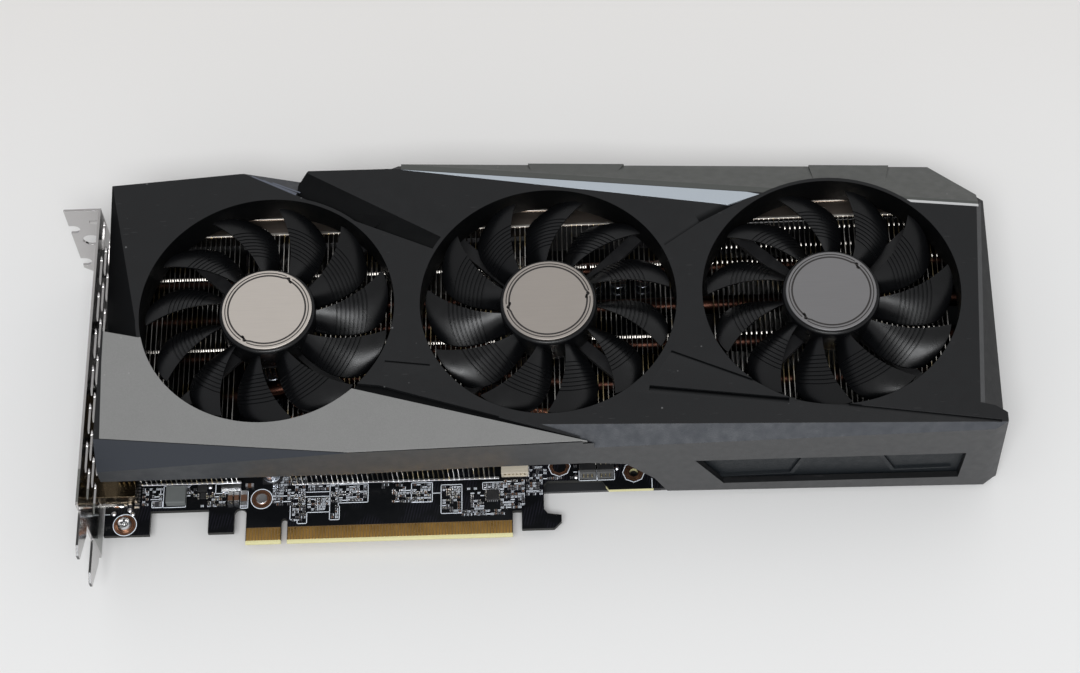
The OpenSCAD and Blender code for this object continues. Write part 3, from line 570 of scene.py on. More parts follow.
def place_box(shape, low, high, index=0, edge=0.0):
    """Adds a box to a bmesh, with its edges cut back."""
    low, high = Vector(low), Vector(high)
    size = high - low
    matrix = Matrix.Translation((low + high) / 2) @ Matrix.Diagonal((*size, 1))
    made = bmesh.ops.create_cube(shape, size=1, matrix=matrix)
    for face in {face for vertex in made["verts"] for face in vertex.link_faces}:
        face.material_index = index
    if edge:
        lines = {line for vertex in made["verts"] for line in vertex.link_edges}
        cut = bmesh.ops.bevel(
            shape, geom=list(lines), offset=edge, segments=1, affect="EDGES", clamp_overlap=True
        )
        for face in cut["faces"]:
            face.material_index = index


def place_loft(shape, rings, index=0, capped=True):
    """Adds a skin over rings of points, and gives the rings' vertices. A ring of one point is a tip.
    Where it's capped, the first and the last ring are closed with a face."""
    rows = [[shape.verts.new(point) for point in ring] for ring in rings]
    outlines = [row for row in (rows[0], rows[-1]) if capped and len(row) > 2]
    for first, second in zip(rows, rows[1:]):
        count = max(len(first), len(second))
        for k in range(count):
            n = (k + 1) % count
            corner = [first[k % len(first)], first[n % len(first)]]
            corner += [second[n % len(second)], second[k % len(second)]]
            outlines.append(list(dict.fromkeys(corner)))
    for outline in outlines:
        shape.faces.new(outline).material_index = index
    return rows


def place_lathe(shape, profile, at, steps, index=0, axis="Z"):
    """Adds a shape turned round an axis along Z or X. The profile lists radius and height, and may
    add how far the turn is drawn out to four lobes. It closes where the radius is 0."""
    at = Vector(at)
    rings = []
    for radius, height, *lobes in profile:
        ring = []
        for k in range(steps if radius else 1):
            a = math.tau * k / steps
            reach = radius * (1 + sum(lobes) * math.cos(4 * a))
            point = Vector((reach * math.cos(a), reach * math.sin(a), height))
            ring.append(at + (point if axis == "Z" else point.zxy))
        rings.append(ring)
    place_loft(shape, rings, index, capped=False)


def place_tube(shape, points, radius, sides):
    """Adds a round tube along a list of points."""
    rings = []
    for i, point in enumerate(points):
        ahead = (points[min(i + 1, len(points) - 1)] - points[max(i - 1, 0)]).normalized()
        across = ahead.cross(Vector((0, 0, 1)))
        if across.length < 0.01:
            across = ahead.cross(Vector((0, 1, 0)))
        across.normalize()
        up = across.cross(ahead)
        angles = [math.tau * k / sides for k in range(sides)]
        rings.append([point + radius * (across * math.cos(a) + up * math.sin(a)) for a in angles])
    place_loft(shape, rings)


# ------------------------------------------------------------------ covers and plain solids

def covers():
    plain = {
        "shroud": ("shroud", 0.35), "front_panel": ("panel", 0.12), "pale_trim": ("pale", 0.1),
        "top_trim": ("top", 0.2), "side_grille": ("grille", 0.15), "backplate": ("backplate", 0.2),
        "bracket": ("nickel", 0.14),
    }
    for node, (look, width) in plain.items():
        softened(node, look, width)


def corner_ridges():
    """Fine raised lines on the facet between the left block and the middle block."""
    low = Vector((47, 114.9, FACE_Z))
    high = Vector((63.4, 106.2, FACE_Z))
    back = Vector((64.4, 114.4, FACE_Z - 6))
    along = (high - low).normalized()
    out = (high - low).cross(back - low).normalized()
    across = out.cross(along).normalized()
    span = (high - low).length
    rise = 0.22
    shape = bmesh.new()
    # Each ridge: its start and end along the facet, its inset at either, and its width
    for start, end, first, last, width in (
        (1.6, span - 0.6, 0.12, 0.35, 0.55),
        (5.5, span - 0.8, 0.75, 1.25, 0.45),
        (8.5, span - 0.4, 1.7, 2.9, 0.7),
    ):
        rings = []
        for reach, inset in ((start, first), (end, last)):
            base = low + along * reach + across * inset
            rings.append([base, base + across * width, base + across * width * 0.6 + out * rise])
        place_loft(shape, rings)
    piece("corner_ridges", shape, ["ridge"], "card")


def inner_solids():
    """Parts inside the card whose CAD shape is right but for its sharp edges."""
    plain = {
        "gpu_package": ("package", 0.1), "gpu_die": ("silicon", 0.03), "memory_chips": ("resin", 0.08),
        "memory_pads": ("pad", 0.2), "power_pads": ("pad", 0.25), "power_stages": ("resin", 0.08),
        "memory_plate": ("plate", 0.25), "power_plate": ("plate", 0.25), "cold_plate": ("copper", 0.25),
        "power_chokes": ("ferrite", 0.35), "front_choke": ("ferrite", 0.4),
        "hdmi_sockets": ("socket_gold", 0.12), "heat_pipes": ("pipe", 0.02),
        "circuit_board": ("board", 0.08), "edge_contacts": ("gold", 0.01), "clock_crystal": ("crystal", 0.2),
        "displayport_sockets": ("socket_steel", 0.12), "power_socket_8": ("black", 0.15),
        "power_socket_6": ("black", 0.15), "power_pins": ("tin", 0.15), "fan_leads": ("lead", 0.2),
    }
    each_fan = {"fan_base": ("black", 0.25), "bearing": ("bronze", 0.15), "stator": ("lamination", 0.1)}
    plain |= {f"{name}_{i}": finish for name, finish in each_fan.items() for i in (1, 2, 3)}
    for node, (look, width) in plain.items():
        softened(node, look, width)
    for i in (1, 2, 3):
        softened(f"magnet_{i}", "magnet", 0.2, f"fan_{i}")
        softened(f"shaft_{i}", "steel", 0.15, f"fan_{i}")


# ------------------------------------------------------------------ fans

# Fans 1 and 3 turn one way and fan 2 the other. Phases and turns are the rest angles in the photo.
BLADES = 11
HUB_R = 15.3
ROOT_R = 14.5
TIP_R = 39.3
BADGE_R = 14.2
HANDS = (1, -1, 1)
PHASES = (-20, 15.5, -27)
BADGE_TURNS = (-82, -131.5, 87)
# Painted reflection: the three badges are one metal, each painted a lighter or darker tone for what it reflects.
BADGE_REFLECTION_TONES = ((0.77, 0.71, 0.65), (0.52, 0.475, 0.435), (0.3, 0.295, 0.3))
GROOVE_START = 21.6
GROOVE_PITCH = 1.4
GROOVES = 8
GROOVE_W = 0.5
GROOVE_D = 0.28
CHORDS = 14


def blade_rows():
    """Radii of the rows of points along a blade, with how deep each lies in a groove."""
    rows = [(ROOT_R, 0), (16.5, 0), (18.2, 0), (20, 0)]
    for k in range(GROOVES):
        start = GROOVE_START + k * GROOVE_PITCH
        rows += [(start, 0), (start + 0.3 * GROOVE_W, 1), (start + 0.7 * GROOVE_W, 1), (start + GROOVE_W, 0)]
    end = GROOVE_START + GROOVES * GROOVE_PITCH
    rows += [(end + (TIP_R - end) * t, 0) for t in (0, 0.25, 0.5, 0.7, 0.85, 0.94, 1)]
    return rows


def blade_point(radius, u, side, groove):
    """A point of a blade: u runs from the low trailing edge to the high leading edge."""
    s = (radius - ROOT_R) / (TIP_R - ROOT_R)
    lead = -12 + 20.5 * s
    trail = -28 + 12 * s * s + 3 * s ** 6
    reach = radius - s ** 3 * (3 * (1 - u) ** 2 + 0.8 * u ** 4)
    angle = math.radians(trail + (lead - trail) * u)
    arch = math.sin(math.pi * u)
    low, high = 31.8 + 0.3 * s, 38.1 - 0.5 * (1 - s) ** 2
    z = low + (high - low) * u + 0.5 * arch + side * (0.3 + 0.4 * arch)
    if side > 0:
        z -= groove * GROOVE_D
    return Vector((reach * math.cos(angle), reach * math.sin(angle), z))


def place_blade(shape, at, turn, hand):
    """Adds one blade: rings over its top and back under it, from the hub out to the tip."""
    spin = Matrix.Rotation(math.radians(turn), 3, "Z")
    rings = []
    for radius, groove in blade_rows():
        ring = []
        for side, order in ((1, range(CHORDS + 1)), (-1, range(CHORDS, -1, -1))):
            for k in order:
                point = spin @ blade_point(radius, k / CHORDS, side, groove)
                ring.append((at.x + point.x, at.y + hand * point.y, point.z))
        rings.append(ring)
    rows = place_loft(shape, rings, capped=False)
    for row in (rows[0], rows[-1]):
        for k in range(CHORDS):
            shape.faces.new((row[k], row[k + 1], row[-k - 2], row[-k - 1]))


def hub_profile(low, high):
    """Half section of the hub: a cup, open below, with a rounded rim."""
    inner = HUB_R - 1.5
    rim = 1.1
    arc = [
        (HUB_R - rim + rim * math.cos(a), high - rim + rim * math.sin(a))
        for a in (math.pi / 2 * k / 5 for k in range(6))
    ]
    return [(0, high - 1.5), (inner, high - 1.5), (inner, low), (HUB_R - 0.2, low), (HUB_R, low + 0.3),
            *arc, (0, high)]


def rotor(i):
    shape = bmesh.new()
    centre = FANS[i]
    hand = HANDS[i]
    for k in range(BLADES):
        place_blade(shape, centre, hand * PHASES[i] + 360 * k / BLADES, hand)
    top = corners(f"badge_{i + 1}")[0].z
    base = corners(f"magnet_{i + 1}")[0].z - 0.8
    place_lathe(shape, hub_profile(base, top), (centre.x, centre.y, 0), 96)
    piece(f"rotor_{i + 1}_ribbed", shape, ["blade"], f"fan_{i + 1}",
          [f"rotor_{i + 1}"], smooth=40)


def badge(i):
    """Brushed disc with a rounded edge and two thin printed rings, broken at opposite points."""
    name, body = f"badge_{i + 1}", f"fan_{i + 1}"
    low, high = corners(name)
    edge = 0.18
    break_turn = 142
    shape = bmesh.new()
    profile = [(0, low.z), (BADGE_R, low.z), (BADGE_R, high.z - edge), (BADGE_R - edge, high.z), (0, high.z)]
    place_lathe(shape, profile, (FANS[i].x, FANS[i].y, 0), 96)
    piece(name + "_disc", shape, [badge_look(i)], body, [name])
    shape = bmesh.new()
    for half in (0, 180):
        place_ring_print(shape, FANS[i], high.z, BADGE_TURNS[i] + break_turn + half)
    piece(name + "_print", shape, ["ink"], body)


def place_ring_print(shape, centre, z, start):
    """Half of the double ring: two arcs that step inward near the break."""
    steps = 60
    end = start + 180
    for radius, width, late, early in ((13.2, 0.34, 3, 6), (12.25, 0.55, 7, 2)):
        first, last = start + late, end - early
        arc = [(first + (last - first) * k / steps, radius) for k in range(steps + 1)]
        place_arc_strip(shape, centre, z, arc, width)
    inward = [(end - 9, 12.1), (end - 5, 12.1), (end - 3, 12.7), (end + 1, 12.7)]
    place_arc_strip(shape, centre, z, inward, 0.9)
    place_arc_strip(shape, centre, z, [(end - 2, 13.1), (end + 2, 12.6), (end + 7, 12.25)], 0.6)


def place_arc_strip(shape, centre, z, points, width):
    """A thin printed strip through points given as angle and radius."""
    thick = 0.012
    section = ((-1, 0), (1, 0), (1, thick), (-1, thick))
    base = Vector((centre.x, centre.y, z))
    rings = []
    for angle, radius in points:
        a = math.radians(angle)
        out = Vector((math.cos(a), math.sin(a), 0))
        rings.append([base + out * (radius + side * width / 2) + Vector((0, 0, h)) for side, h in section])
    place_loft(shape, rings)


def coils(i):
    """Nine copper windings round the poles of a stator."""
    poles, turns, steps = 9, 6, 24
    centre = Vector((FANS[i].x, FANS[i].y, middle(f"stator_{i + 1}").z))
    shape = bmesh.new()
    for pole in range(poles):
        spin = Matrix.Rotation(math.tau * pole / poles, 3, "Z")
        for turn in range(turns):
            reach = 6.6 + 0.62 * turn
            angles = [math.tau * k / steps for k in range(steps + 1)]
            loop = [
                centre + spin @ Vector((reach, 1.45 * math.cos(a), 2.2 * math.sin(a))) for a in angles
            ]
            place_tube(shape, loop, 0.3, 6)
    piece(f"stator_{i + 1}_coils", shape, ["winding"], "card")


def fans():
    for i in range(3):
        rotor(i)
        badge(i)
        coils(i)


# ------------------------------------------------------------------ fin stacks

FIN_PITCH = 1.6
FIN_T = 0.22
FIN_TOP = 26
FIN_FRONT = 20.5
FIN_BACK = 101
# The two rows of fins whose foot is folded to a lip reach further to the front
LOW_FRONT = (19.9, 18.6)
LIP_BACK = 30
LIP_Z = 9
# The row at the heat pipes' bend is set back
GAP_Y = 52
# Undersides of the fins: by the bracket, over the board's tall parts, over its end and past it
END_Z = 13
HIGH_Z = 17.8
LOW_Z = 12.6
FAR_Z = 6
# Over the power sockets the underside steps up
STEP_Y = 91
STEP_Z = 18.6
# The plate folded back from the fins' tops, and the skirt that hangs from it: a dark sheet that stands for the
# shade behind the fins
PLATE_BACK = 107.6
SHADE_SKIRT_Z = 9.5
SHADE_SKIRT_END = 138


def place_fin(shape, x, outline):
    """One upright sheet across X, with its side outline given as Y and Z."""
    place_loft(shape, [[(x + side * FIN_T / 2, y, z) for y, z in outline] for side in (-1, 1)])


def place_tab(shape, x, y):
    """A small folded tab with a sloping front."""
    width = 0.42
    side = ((-0.6, -0.4), (-0.05, -0.05), (0.1, 0), (0.3, 0), (0.6, -0.25), (0.6, -0.4))
    place_loft(shape, [[(x + s, y + a, FIN_TOP + b) for a, b in side] for s in (0, width)], 1)


def fin_side(front, lip, low):
    foot = [(front, FIN_TOP), (front, lip)]
    if lip != low:
        foot += [(LIP_BACK, lip), (LIP_BACK, low)]
    return [*foot, (FIN_BACK, low), (FIN_BACK, FIN_TOP)]


def stepped_side(low):
    return [(FIN_FRONT, FIN_TOP), (FIN_FRONT, low), (STEP_Y, low), (STEP_Y, STEP_Z),
            (FIN_BACK, STEP_Z), (FIN_BACK, FIN_TOP)]


def place_fins(shape, start, end, outline, tab_ys, tabs_each):
    """A row of fins with the small folded tabs that space them along their top edge."""
    count = int((end - start) / FIN_PITCH) + 1
    for i in range(count):
        x = start + i * FIN_PITCH
        place_fin(shape, x, outline)
        for y in tab_ys:
            for step in range(tabs_each):
                place_tab(shape, x + step * FIN_PITCH / tabs_each, y)


def folded_lip(shape, start, end, front):
    """The foot of a row of fins, folded to one continuous bright edge."""
    place_box(shape, (start, front - 0.2, LIP_Z - 0.3), (end, front + 0.5, LIP_Z + 0.25), 0, 0.08)


def fin_stacks():
    tabs = (59, 85.4)
    shape = bmesh.new()
    for start, end, outline in (
        (5.8, 11, fin_side(FIN_FRONT, END_Z, END_Z)),
        (13, 44.4, fin_side(LOW_FRONT[0], LIP_Z, END_Z)),
        (46.6, 59.6, fin_side(GAP_Y, HIGH_Z, HIGH_Z)),
        (61, 126.2, fin_side(LOW_FRONT[1], LIP_Z, HIGH_Z)),
        (128.2, 142.8, fin_side(FIN_FRONT, HIGH_Z, HIGH_Z)),
        (145, 154.8, stepped_side(HIGH_Z)),
        (157, 189, stepped_side(LOW_Z)),
    ):
        place_fins(shape, start, end, outline, tabs, 2)
    piece("fins_over_board", shape, ["fins", "tab"], "card", ["fin_stack_left"])
    shape = bmesh.new()
    place_fins(shape, 196.2, 271, fin_side(FIN_FRONT, FAR_Z, FAR_Z), (*tabs, 91, 97.5), 1)
    piece("fins_beyond_board", shape, ["fins", "tab"], "card", ["fin_stack_right"])

    sheet = 0.35
    shape = bmesh.new()
    folded_lip(shape, 12.8, 44.6, LOW_FRONT[0])
    folded_lip(shape, 60.8, 126.4, LOW_FRONT[1])
    for start, end in ((5.6, 189.2), (196, 271.2)):
        place_box(shape, (start, FIN_BACK - 0.2, FIN_TOP - 0.9), (end, PLATE_BACK, FIN_TOP), 1, 0.15)
        place_box(shape, (start, FIN_BACK - 0.2, FIN_TOP), (end, FIN_BACK + 0.6, FIN_TOP + sheet), 2, 0.1)
        place_box(shape, (start, PLATE_BACK - 0.8, FIN_TOP), (end, PLATE_BACK, FIN_TOP + sheet), 2, 0.1)
        place_box(shape, (start, FIN_FRONT, FIN_TOP - 0.3), (end, FIN_FRONT + 4, FIN_TOP), 1, 0.1)
    # The skirt: a dark sheet standing for the shade behind the fins, where the table would show through.
    place_box(shape, (5.6, PLATE_BACK - 0.3, SHADE_SKIRT_Z), (SHADE_SKIRT_END, PLATE_BACK, FIN_TOP - 0.5), 1, 0.1)
    piece("fin_folds", shape, ["lip", "fin_plate", "cream_edge"], "card")


# ------------------------------------------------------------------ small parts on the board

STRIP_LOOKS = ("ceramic", "solder", "body_black", "resin")
CERAMIC, SOLDER, FILM, RESIN = range(4)
RING_AT = ((7.6, 7.7), (50.8, 15.4), (145.4, 23.6), (168.9, 20.8))


def place_chip(shape, x, y, length, width, height, along, body):
    """A chip part: its body between two soldered ends."""
    end = length * 0.28
    spill = 0.02
    for start, stop, index, grow in (
        (0, end, SOLDER, spill), (end, length - end, body, 0), (length - end, length, SOLDER, spill)
    ):
        low = [start - length / 2, -width / 2 - grow]
        high = [stop - length / 2, width / 2 + grow]
        if not along:
            low.reverse()
            high.reverse()
        place_box(shape, (x + low[0], y + low[1], BOARD_TOP),
                  (x + high[0], y + high[1], BOARD_TOP + height + grow), index)


def place_lines(shape, points, width=0.22):
    """Printed lines on the board along X or Y, from each point to the next."""
    for ends in zip(points, points[1:]):
        low = [min(pair) - width / 2 for pair in zip(*ends)]
        high = [max(pair) + width / 2 for pair in zip(*ends)]
        place_box(shape, (*low, BOARD_TOP - 0.01), (*high, BOARD_TOP + 0.03))


def place_disc_ring(shape, at, inner, outer, height, sides, index):
    """A thin flat ring on the board."""
    profile = [(inner, 0), (outer, 0), (outer, height), (inner, height), (inner, 0)]
    place_lathe(shape, profile, (*at, BOARD_TOP), sides, index)


CROWD_ROW = 0.95
CROWD_COLUMN = 1.15
# Crowded areas of the strip: lowest and highest X and Y, and the share of places that are filled
CROWDS = [
    (12.6, 14.2, 19, 20.4, 0.5), (26.8, 16.8, 30, 21, 0.75), (33.6, 13.2, 39.4, 18.2, 0.7),
    (31.4, 12.9, 36.6, 14.2, 0.7), (54.2, 12.8, 64.8, 22.6, 0.85), (60.6, 7.2, 65, 12.8, 0.85),
    (65.4, 17.8, 72.4, 19.8, 0.7), (65.4, 10.8, 72.4, 15.2, 0.75), (72.8, 7.8, 75.4, 19.8, 0.8),
    (75.4, 13.6, 84.2, 19.2, 0.8), (88.8, 17.6, 91.4, 19.6, 0.8), (92.2, 12.6, 104.6, 19.2, 0.7),
    (108.2, 8.8, 114, 18, 0.7), (116, 16.2, 119.2, 18.4, 0.6), (117.2, 7.4, 121.4, 15.6, 0.65),
    (121.4, 16.8, 127.4, 18.4, 0.75), (113.2, 7.2, 128, 9.4, 0.75), (126.6, 9.4, 134.4, 19.4, 0.8),
    (134.8, 13.8, 140, 24, 0.7), (140.2, 19, 151, 24, 0.6), (57.4, 22.6, 60.4, 26, 0.7),
]
# Larger parts within them: lowest and highest X and Y
KEEP_OUT = [
    (40, 13.4, 46.4, 18.4), (46.6, 11.6, 54.2, 19.4), (122, 12.2, 126.2, 16.2), (141.6, 20.2, 149.4, 27),
]
# Printed outlines: lowest and highest X and Y
PRINTED_FRAMES = [
    (15.8, 13.5, 19.2, 15.7), (19.4, 13.4, 26.6, 20.9), (36, 17.8, 43.2, 21.1), (44.1, 12.4, 46.4, 18.4),
    (72.5, 7.4, 75.6, 12.2), (72.5, 12.2, 75.2, 19.8), (75.2, 13.2, 84.6, 19.6), (98.4, 12.6, 105, 19.4),
    (107.8, 8.4, 114.4, 18.4), (121, 16.4, 127.6, 18.8), (151.6, 18.4, 157.2, 22), (157.4, 18.4, 162.8, 22),
]
# Printed lines: X and Y of the points they run through
PRINTED_LINES = [
    ((60, 12.6), (60, 7.8), (62.3, 7.8), (62.3, 6.4), (65.3, 6.4), (65.3, 10.2), (72.5, 10.2)),
    ((65, 17.3), (72.5, 17.3)), ((64, 15.7), (72.5, 15.7)), ((105, 15.6), (107.8, 15.6)),
    ((174.6, 15.2), (174.6, 18.4)), ((18.4, 16), (18.4, 20)), ((15.4, 16.4), (18, 16.4)),
    ((1, 11.5), (2.6, 11.5)), ((6, 11), (8.2, 11)),
]


def crowded_places():
    """Places in even rows over the crowded areas, each with the share that is filled there."""
    for x1, y1, x2, y2, share in CROWDS:
        rows = max(round((y2 - y1) / CROWD_ROW), 1)
        columns = max(round((x2 - x1) / CROWD_COLUMN), 1)
        for row in range(rows):
            for column in range(columns):
                x = x1 + (column + 0.5) * (x2 - x1) / columns
                y = y1 + (row + 0.5) * (y2 - y1) / rows
                if not any(a <= x <= c and b <= y <= d for a, b, c, d in KEEP_OUT):
                    yield x, y, share


def crowded_parts():
    """Rows of chip parts with their soldered ends and printed ticks, packed as tight as they fit."""
    chance = random.Random(7)
    tones = (CERAMIC, FILM, FILM, FILM, FILM)
    parts = bmesh.new()
    ticks = bmesh.new()
    for x, y, share in crowded_places():
        if chance.random() > share:
            continue
        kind = chance.random()
        if kind < 0.3:
            place_chip(parts, x, y, 1, 0.6, 0.35, True, chance.choice(tones))
        elif kind < 0.55:
            place_chip(parts, x - 0.25, y, 0.85, 0.5, 0.35, False, chance.choice(tones))
            place_lines(ticks, [(x + 0.3, y - 0.3), (x + 0.3, y + 0.3)], 0.2)
        elif kind < 0.75:
            for shift in (-0.36, 0, 0.36):
                place_lines(ticks, [(x + shift, y - 0.28), (x + shift, y + 0.28)], 0.17)
        elif kind < 0.9:
            place_lines(ticks, [(x - 0.4, y + 0.22), (x + 0.4, y + 0.22)], 0.18)
            place_lines(ticks, [(x - 0.4, y - 0.2), (x + 0.2, y - 0.2)], 0.18)
        else:
            place_lines(ticks, [(x - 0.45, y), (x + 0.45, y)], 0.3)
    return parts, ticks


def printed_outlines(ticks):
    """Lines printed round groups of parts along the strip."""
    for x1, y1, x2, y2 in PRINTED_FRAMES:
        place_lines(ticks, ((x1, y1), (x2, y1), (x2, y2), (x1, y2), (x1, y1)))
    for points in PRINTED_LINES:
        place_lines(ticks, points)


def larger_chips(parts):
    """The strip's parts that can be told apart: each is drawn where it stands."""
    for x, y, length, width, height, along, body in (
        (40.9, 15.6, 4.2, 1.5, 1.2, False, CERAMIC), (42.9, 15.6, 4.2, 1.5, 1.2, False, CERAMIC),
        (45.2, 15.4, 5.2, 1.9, 1.3, False, CERAMIC), (17.5, 14.6, 2.8, 1.4, 0.6, True, FILM),
        (46.9, 20, 2.6, 1.1, 1, True, CERAMIC),
    ):
        place_chip(parts, x, y, length, width, height, along, body)
    bead = [(0, 0), (0.75, 0), (0.75, 0.25), (0.4, 0.5), (0, 0.55)]
    for x, y in ((34.2, 20.2), (3.9, 11.7), (9.9, 11.4), (163.6, 22.4), (150.6, 19.8), (8.9, 12.8)):
        place_lathe(parts, bead, (x, y, BOARD_TOP), 16, SOLDER)
    for k in range(9):
        y = 13.4 + 1.15 * k
        place_box(parts, (10.4, y, BOARD_TOP), (12, y + 0.6, BOARD_TOP + 0.3), SOLDER)
    for x1, y1, x2, y2, height in (
        (30.3, 18.3, 33.3, 20.9, 1), (31.2, 15.9, 33, 18.1, 0.8), (122.2, 12.4, 126, 16, 0.85)
    ):
        place_box(parts, (x1, y1, BOARD_TOP + 0.05), (x2, y2, BOARD_TOP + height), RESIN, 0.08)
    for k in range(3):
        y = 16 + 0.75 * k
        for x in (30.6, 33.3):
            place_box(parts, (x - 0.25, y, BOARD_TOP), (x + 0.25, y + 0.35, BOARD_TOP + 0.3), SOLDER)
    for k in range(6):
        x, y = 122.6 + 0.6 * k, 12.7 + 0.6 * k
        for leg_x, leg_y, wide, deep in (
            (x, 12.2, 0.15, 0.25), (x, 16.2, 0.15, 0.25), (122, y, 0.25, 0.15), (126.2, y, 0.25, 0.15)
        ):
            place_box(parts, (leg_x - wide, leg_y - deep, BOARD_TOP),
                      (leg_x + wide, leg_y + deep, BOARD_TOP + 0.12), SOLDER)


def board_details():
    parts, ticks = crowded_parts()
    larger_chips(parts)
    printed_outlines(ticks)
    piece("strip_parts", parts, STRIP_LOOKS, "card", ["chip_capacitors"])
    piece("strip_print", ticks, ["silkscreen"], "card")
    rings = bmesh.new()
    sizes = ((2.3, 3.4, 3.7, 48), (1.8, 3.1, 3.4, 48), (2.3, 3.2, 3.5, 8), (1.6, 3.2, 3.5, 8))
    for at, (inner, outer, print_r, sides) in zip(RING_AT, sizes):
        groove_r = (inner + outer) / 2
        place_disc_ring(rings, at, inner, outer, 0.05, sides, 0)
        place_disc_ring(rings, at, print_r - 0.12, print_r + 0.12, 0.05, sides, 1)
        place_disc_ring(rings, at, groove_r - 0.06, groove_r + 0.06, 0.07, sides, 2)
    piece("hole_rings", rings, ["ring", "silkscreen", "board"], "card")
    laminate = bmesh.new()
    for x1, x2 in ((46.3, 57.1), (59.4, 130.2)):
        place_box(laminate, (x1, 0.98, BOARD_TOP - 0.01), (x2, 5.4, BOARD_TOP + 0.015))
    piece("connector_laminate", laminate, ["bare"], "card")


# ------------------------------------------------------------------ capacitors, headers and sockets

def can_capacitors():
    """Polymer capacitors: a black foot, a beaded aluminium can and a scored lid."""
    foot = ((-3, -3), (2, -3), (3, -2), (3, 2), (2, 3), (-3, 3))
    shape = bmesh.new()
    for low, high in solids("can_capacitors"):
        if high.z - low.z < 4:
            continue
        top = high.z - BOARD_TOP
        x, y = ((low + high) / 2).xy
        place_loft(shape, [[(x + a, y + b, BOARD_TOP + z) for a, b in foot] for z in (0, 0.8)], 1)
        profile = [(0, 0.8), (2.9, 0.8), (2.9, 1.3), (2.7, 1.6), (2.9, 1.9), (2.95, top - 0.5),
                   (2.8, top - 0.1), (2.6, top), (2.4, top - 0.12), (0, top - 0.12)]
        place_lathe(shape, profile, (x, y, BOARD_TOP), 40)
        for wide, deep in ((1.7, 0.06), (0.06, 1.7)):
            place_box(shape, (x - wide, y - deep, high.z - 0.2), (x + wide, y + deep, high.z - 0.09), 1)
    piece("cans", shape, ["can", "black"], "card", ["can_capacitors"])


def headers():
    """Fan headers: the white one by the fins and two dark ones, each with its pins."""
    shape = bmesh.new()
    for index, (low, high) in enumerate(sorted(solids("fan_headers"), key=lambda pair: pair[0].x)):
        tone, cap, pins = (1, 3, 3) if index else (0, 0, 6)
        wall = low.y + 1
        for first, last, look, edge in (
            ((low.x, low.y + 0.9, low.z), (high.x, high.y, high.z - 0.15), tone, 0.12),
            ((low.x + 0.1, wall, high.z - 0.2), (high.x - 0.1, high.y - 0.1, high.z), cap, 0.05),
            ((low.x, low.y, low.z), (low.x + 0.9, wall, high.z), tone, 0.1),
            ((high.x - 0.9, low.y, low.z), (high.x, wall, high.z), tone, 0.1),
            ((low.x + 0.8, low.y, low.z), (high.x - 0.8, wall, low.z + 0.8), tone, 0.1),
            ((low.x + 0.8, low.y, high.z - 0.7), (high.x - 0.8, wall, high.z), tone, 0.1),
        ):
            place_box(shape, first, last, look, edge)
        for k in range(pins):
            x = low.x + (high.x - low.x) * (k + 1) / (pins + 1)
            place_box(shape, (x - 0.16, low.y + 0.1, low.z + 1.3), (x + 0.16, wall, low.z + 1.7), 2)
        if index:
            mark = ((low.x + high.x) / 2 - 0.6, low.y + 2.2, high.z)
            place_lathe(shape, [(0, 0), (0.38, 0), (0.38, 0.04), (0, 0.04)], mark, 16, 3)
    looks = ["cream", "header_grey", "tin", "black"]
    piece("headers", shape, looks, "card", ["fan_headers"])


def socket_details():
    """Tongues with their contacts, and the sockets' solder legs."""
    contacts = 10
    shape = bmesh.new()
    for low, high in solids("socket_tongues"):
        place_box(shape, low, high, 0, 0.1)
        for k in range(contacts):
            y = low.y + (high.y - low.y) * (k + 0.5) / contacts
            place_box(shape, (low.x + 0.3, y - 0.2, low.z - 0.04), (high.x - 0.1, y + 0.2, high.z + 0.04), 1)
    piece("tongues", shape, ["black", "gold"], "card", ["socket_tongues"])
    shape = bmesh.new()
    for low, high in solids("hdmi_sockets") + solids("displayport_sockets"):
        for y in (low.y - 0.75, high.y - 0.05):
            place_box(shape, (1.2, y, BOARD_TOP), (8.2, y + 0.8, BOARD_TOP + 1), 0, 0.1)
            for x in (3.2, 8.6):
                place_box(shape, (x, y + 0.15, BOARD_TOP - 0.1), (x + 1, y + 0.65, BOARD_TOP + 1.6), 0, 0.05)
    piece("socket_legs", shape, ["bright"], "card")


# ------------------------------------------------------------------ screws and springs

def place_screw_head(shape, at, radius, height, down=False, axis="Z"):
    """A pan head with a cross-shaped recess. It stands up from its place, or hangs down from it."""
    lobes = 0.3
    tall = -height if down else height
    profile = [
        (0, 0), (radius, 0), (radius, tall * 0.45), (radius * 0.93, tall * 0.8), (radius * 0.78, tall),
        (radius * 0.44, tall, lobes), (radius * 0.24, tall * 0.35, lobes), (0, tall * 0.3),
    ]
    place_lathe(shape, profile, at, 48, axis=axis)


def place_thread(shape, at, radius, start, end, axis="Z"):
    """The threaded part of a screw, as a row of ridges."""
    pitch = 0.5
    root = radius * 0.86
    profile = [(0, start)]
    z = start
    while z + pitch < end:
        profile += [(root, z), (radius, z + pitch / 2)]
        z += pitch
    profile += [(root, z), (radius * 0.7, end), (0, end)]
    place_lathe(shape, profile, at, 20, axis=axis)


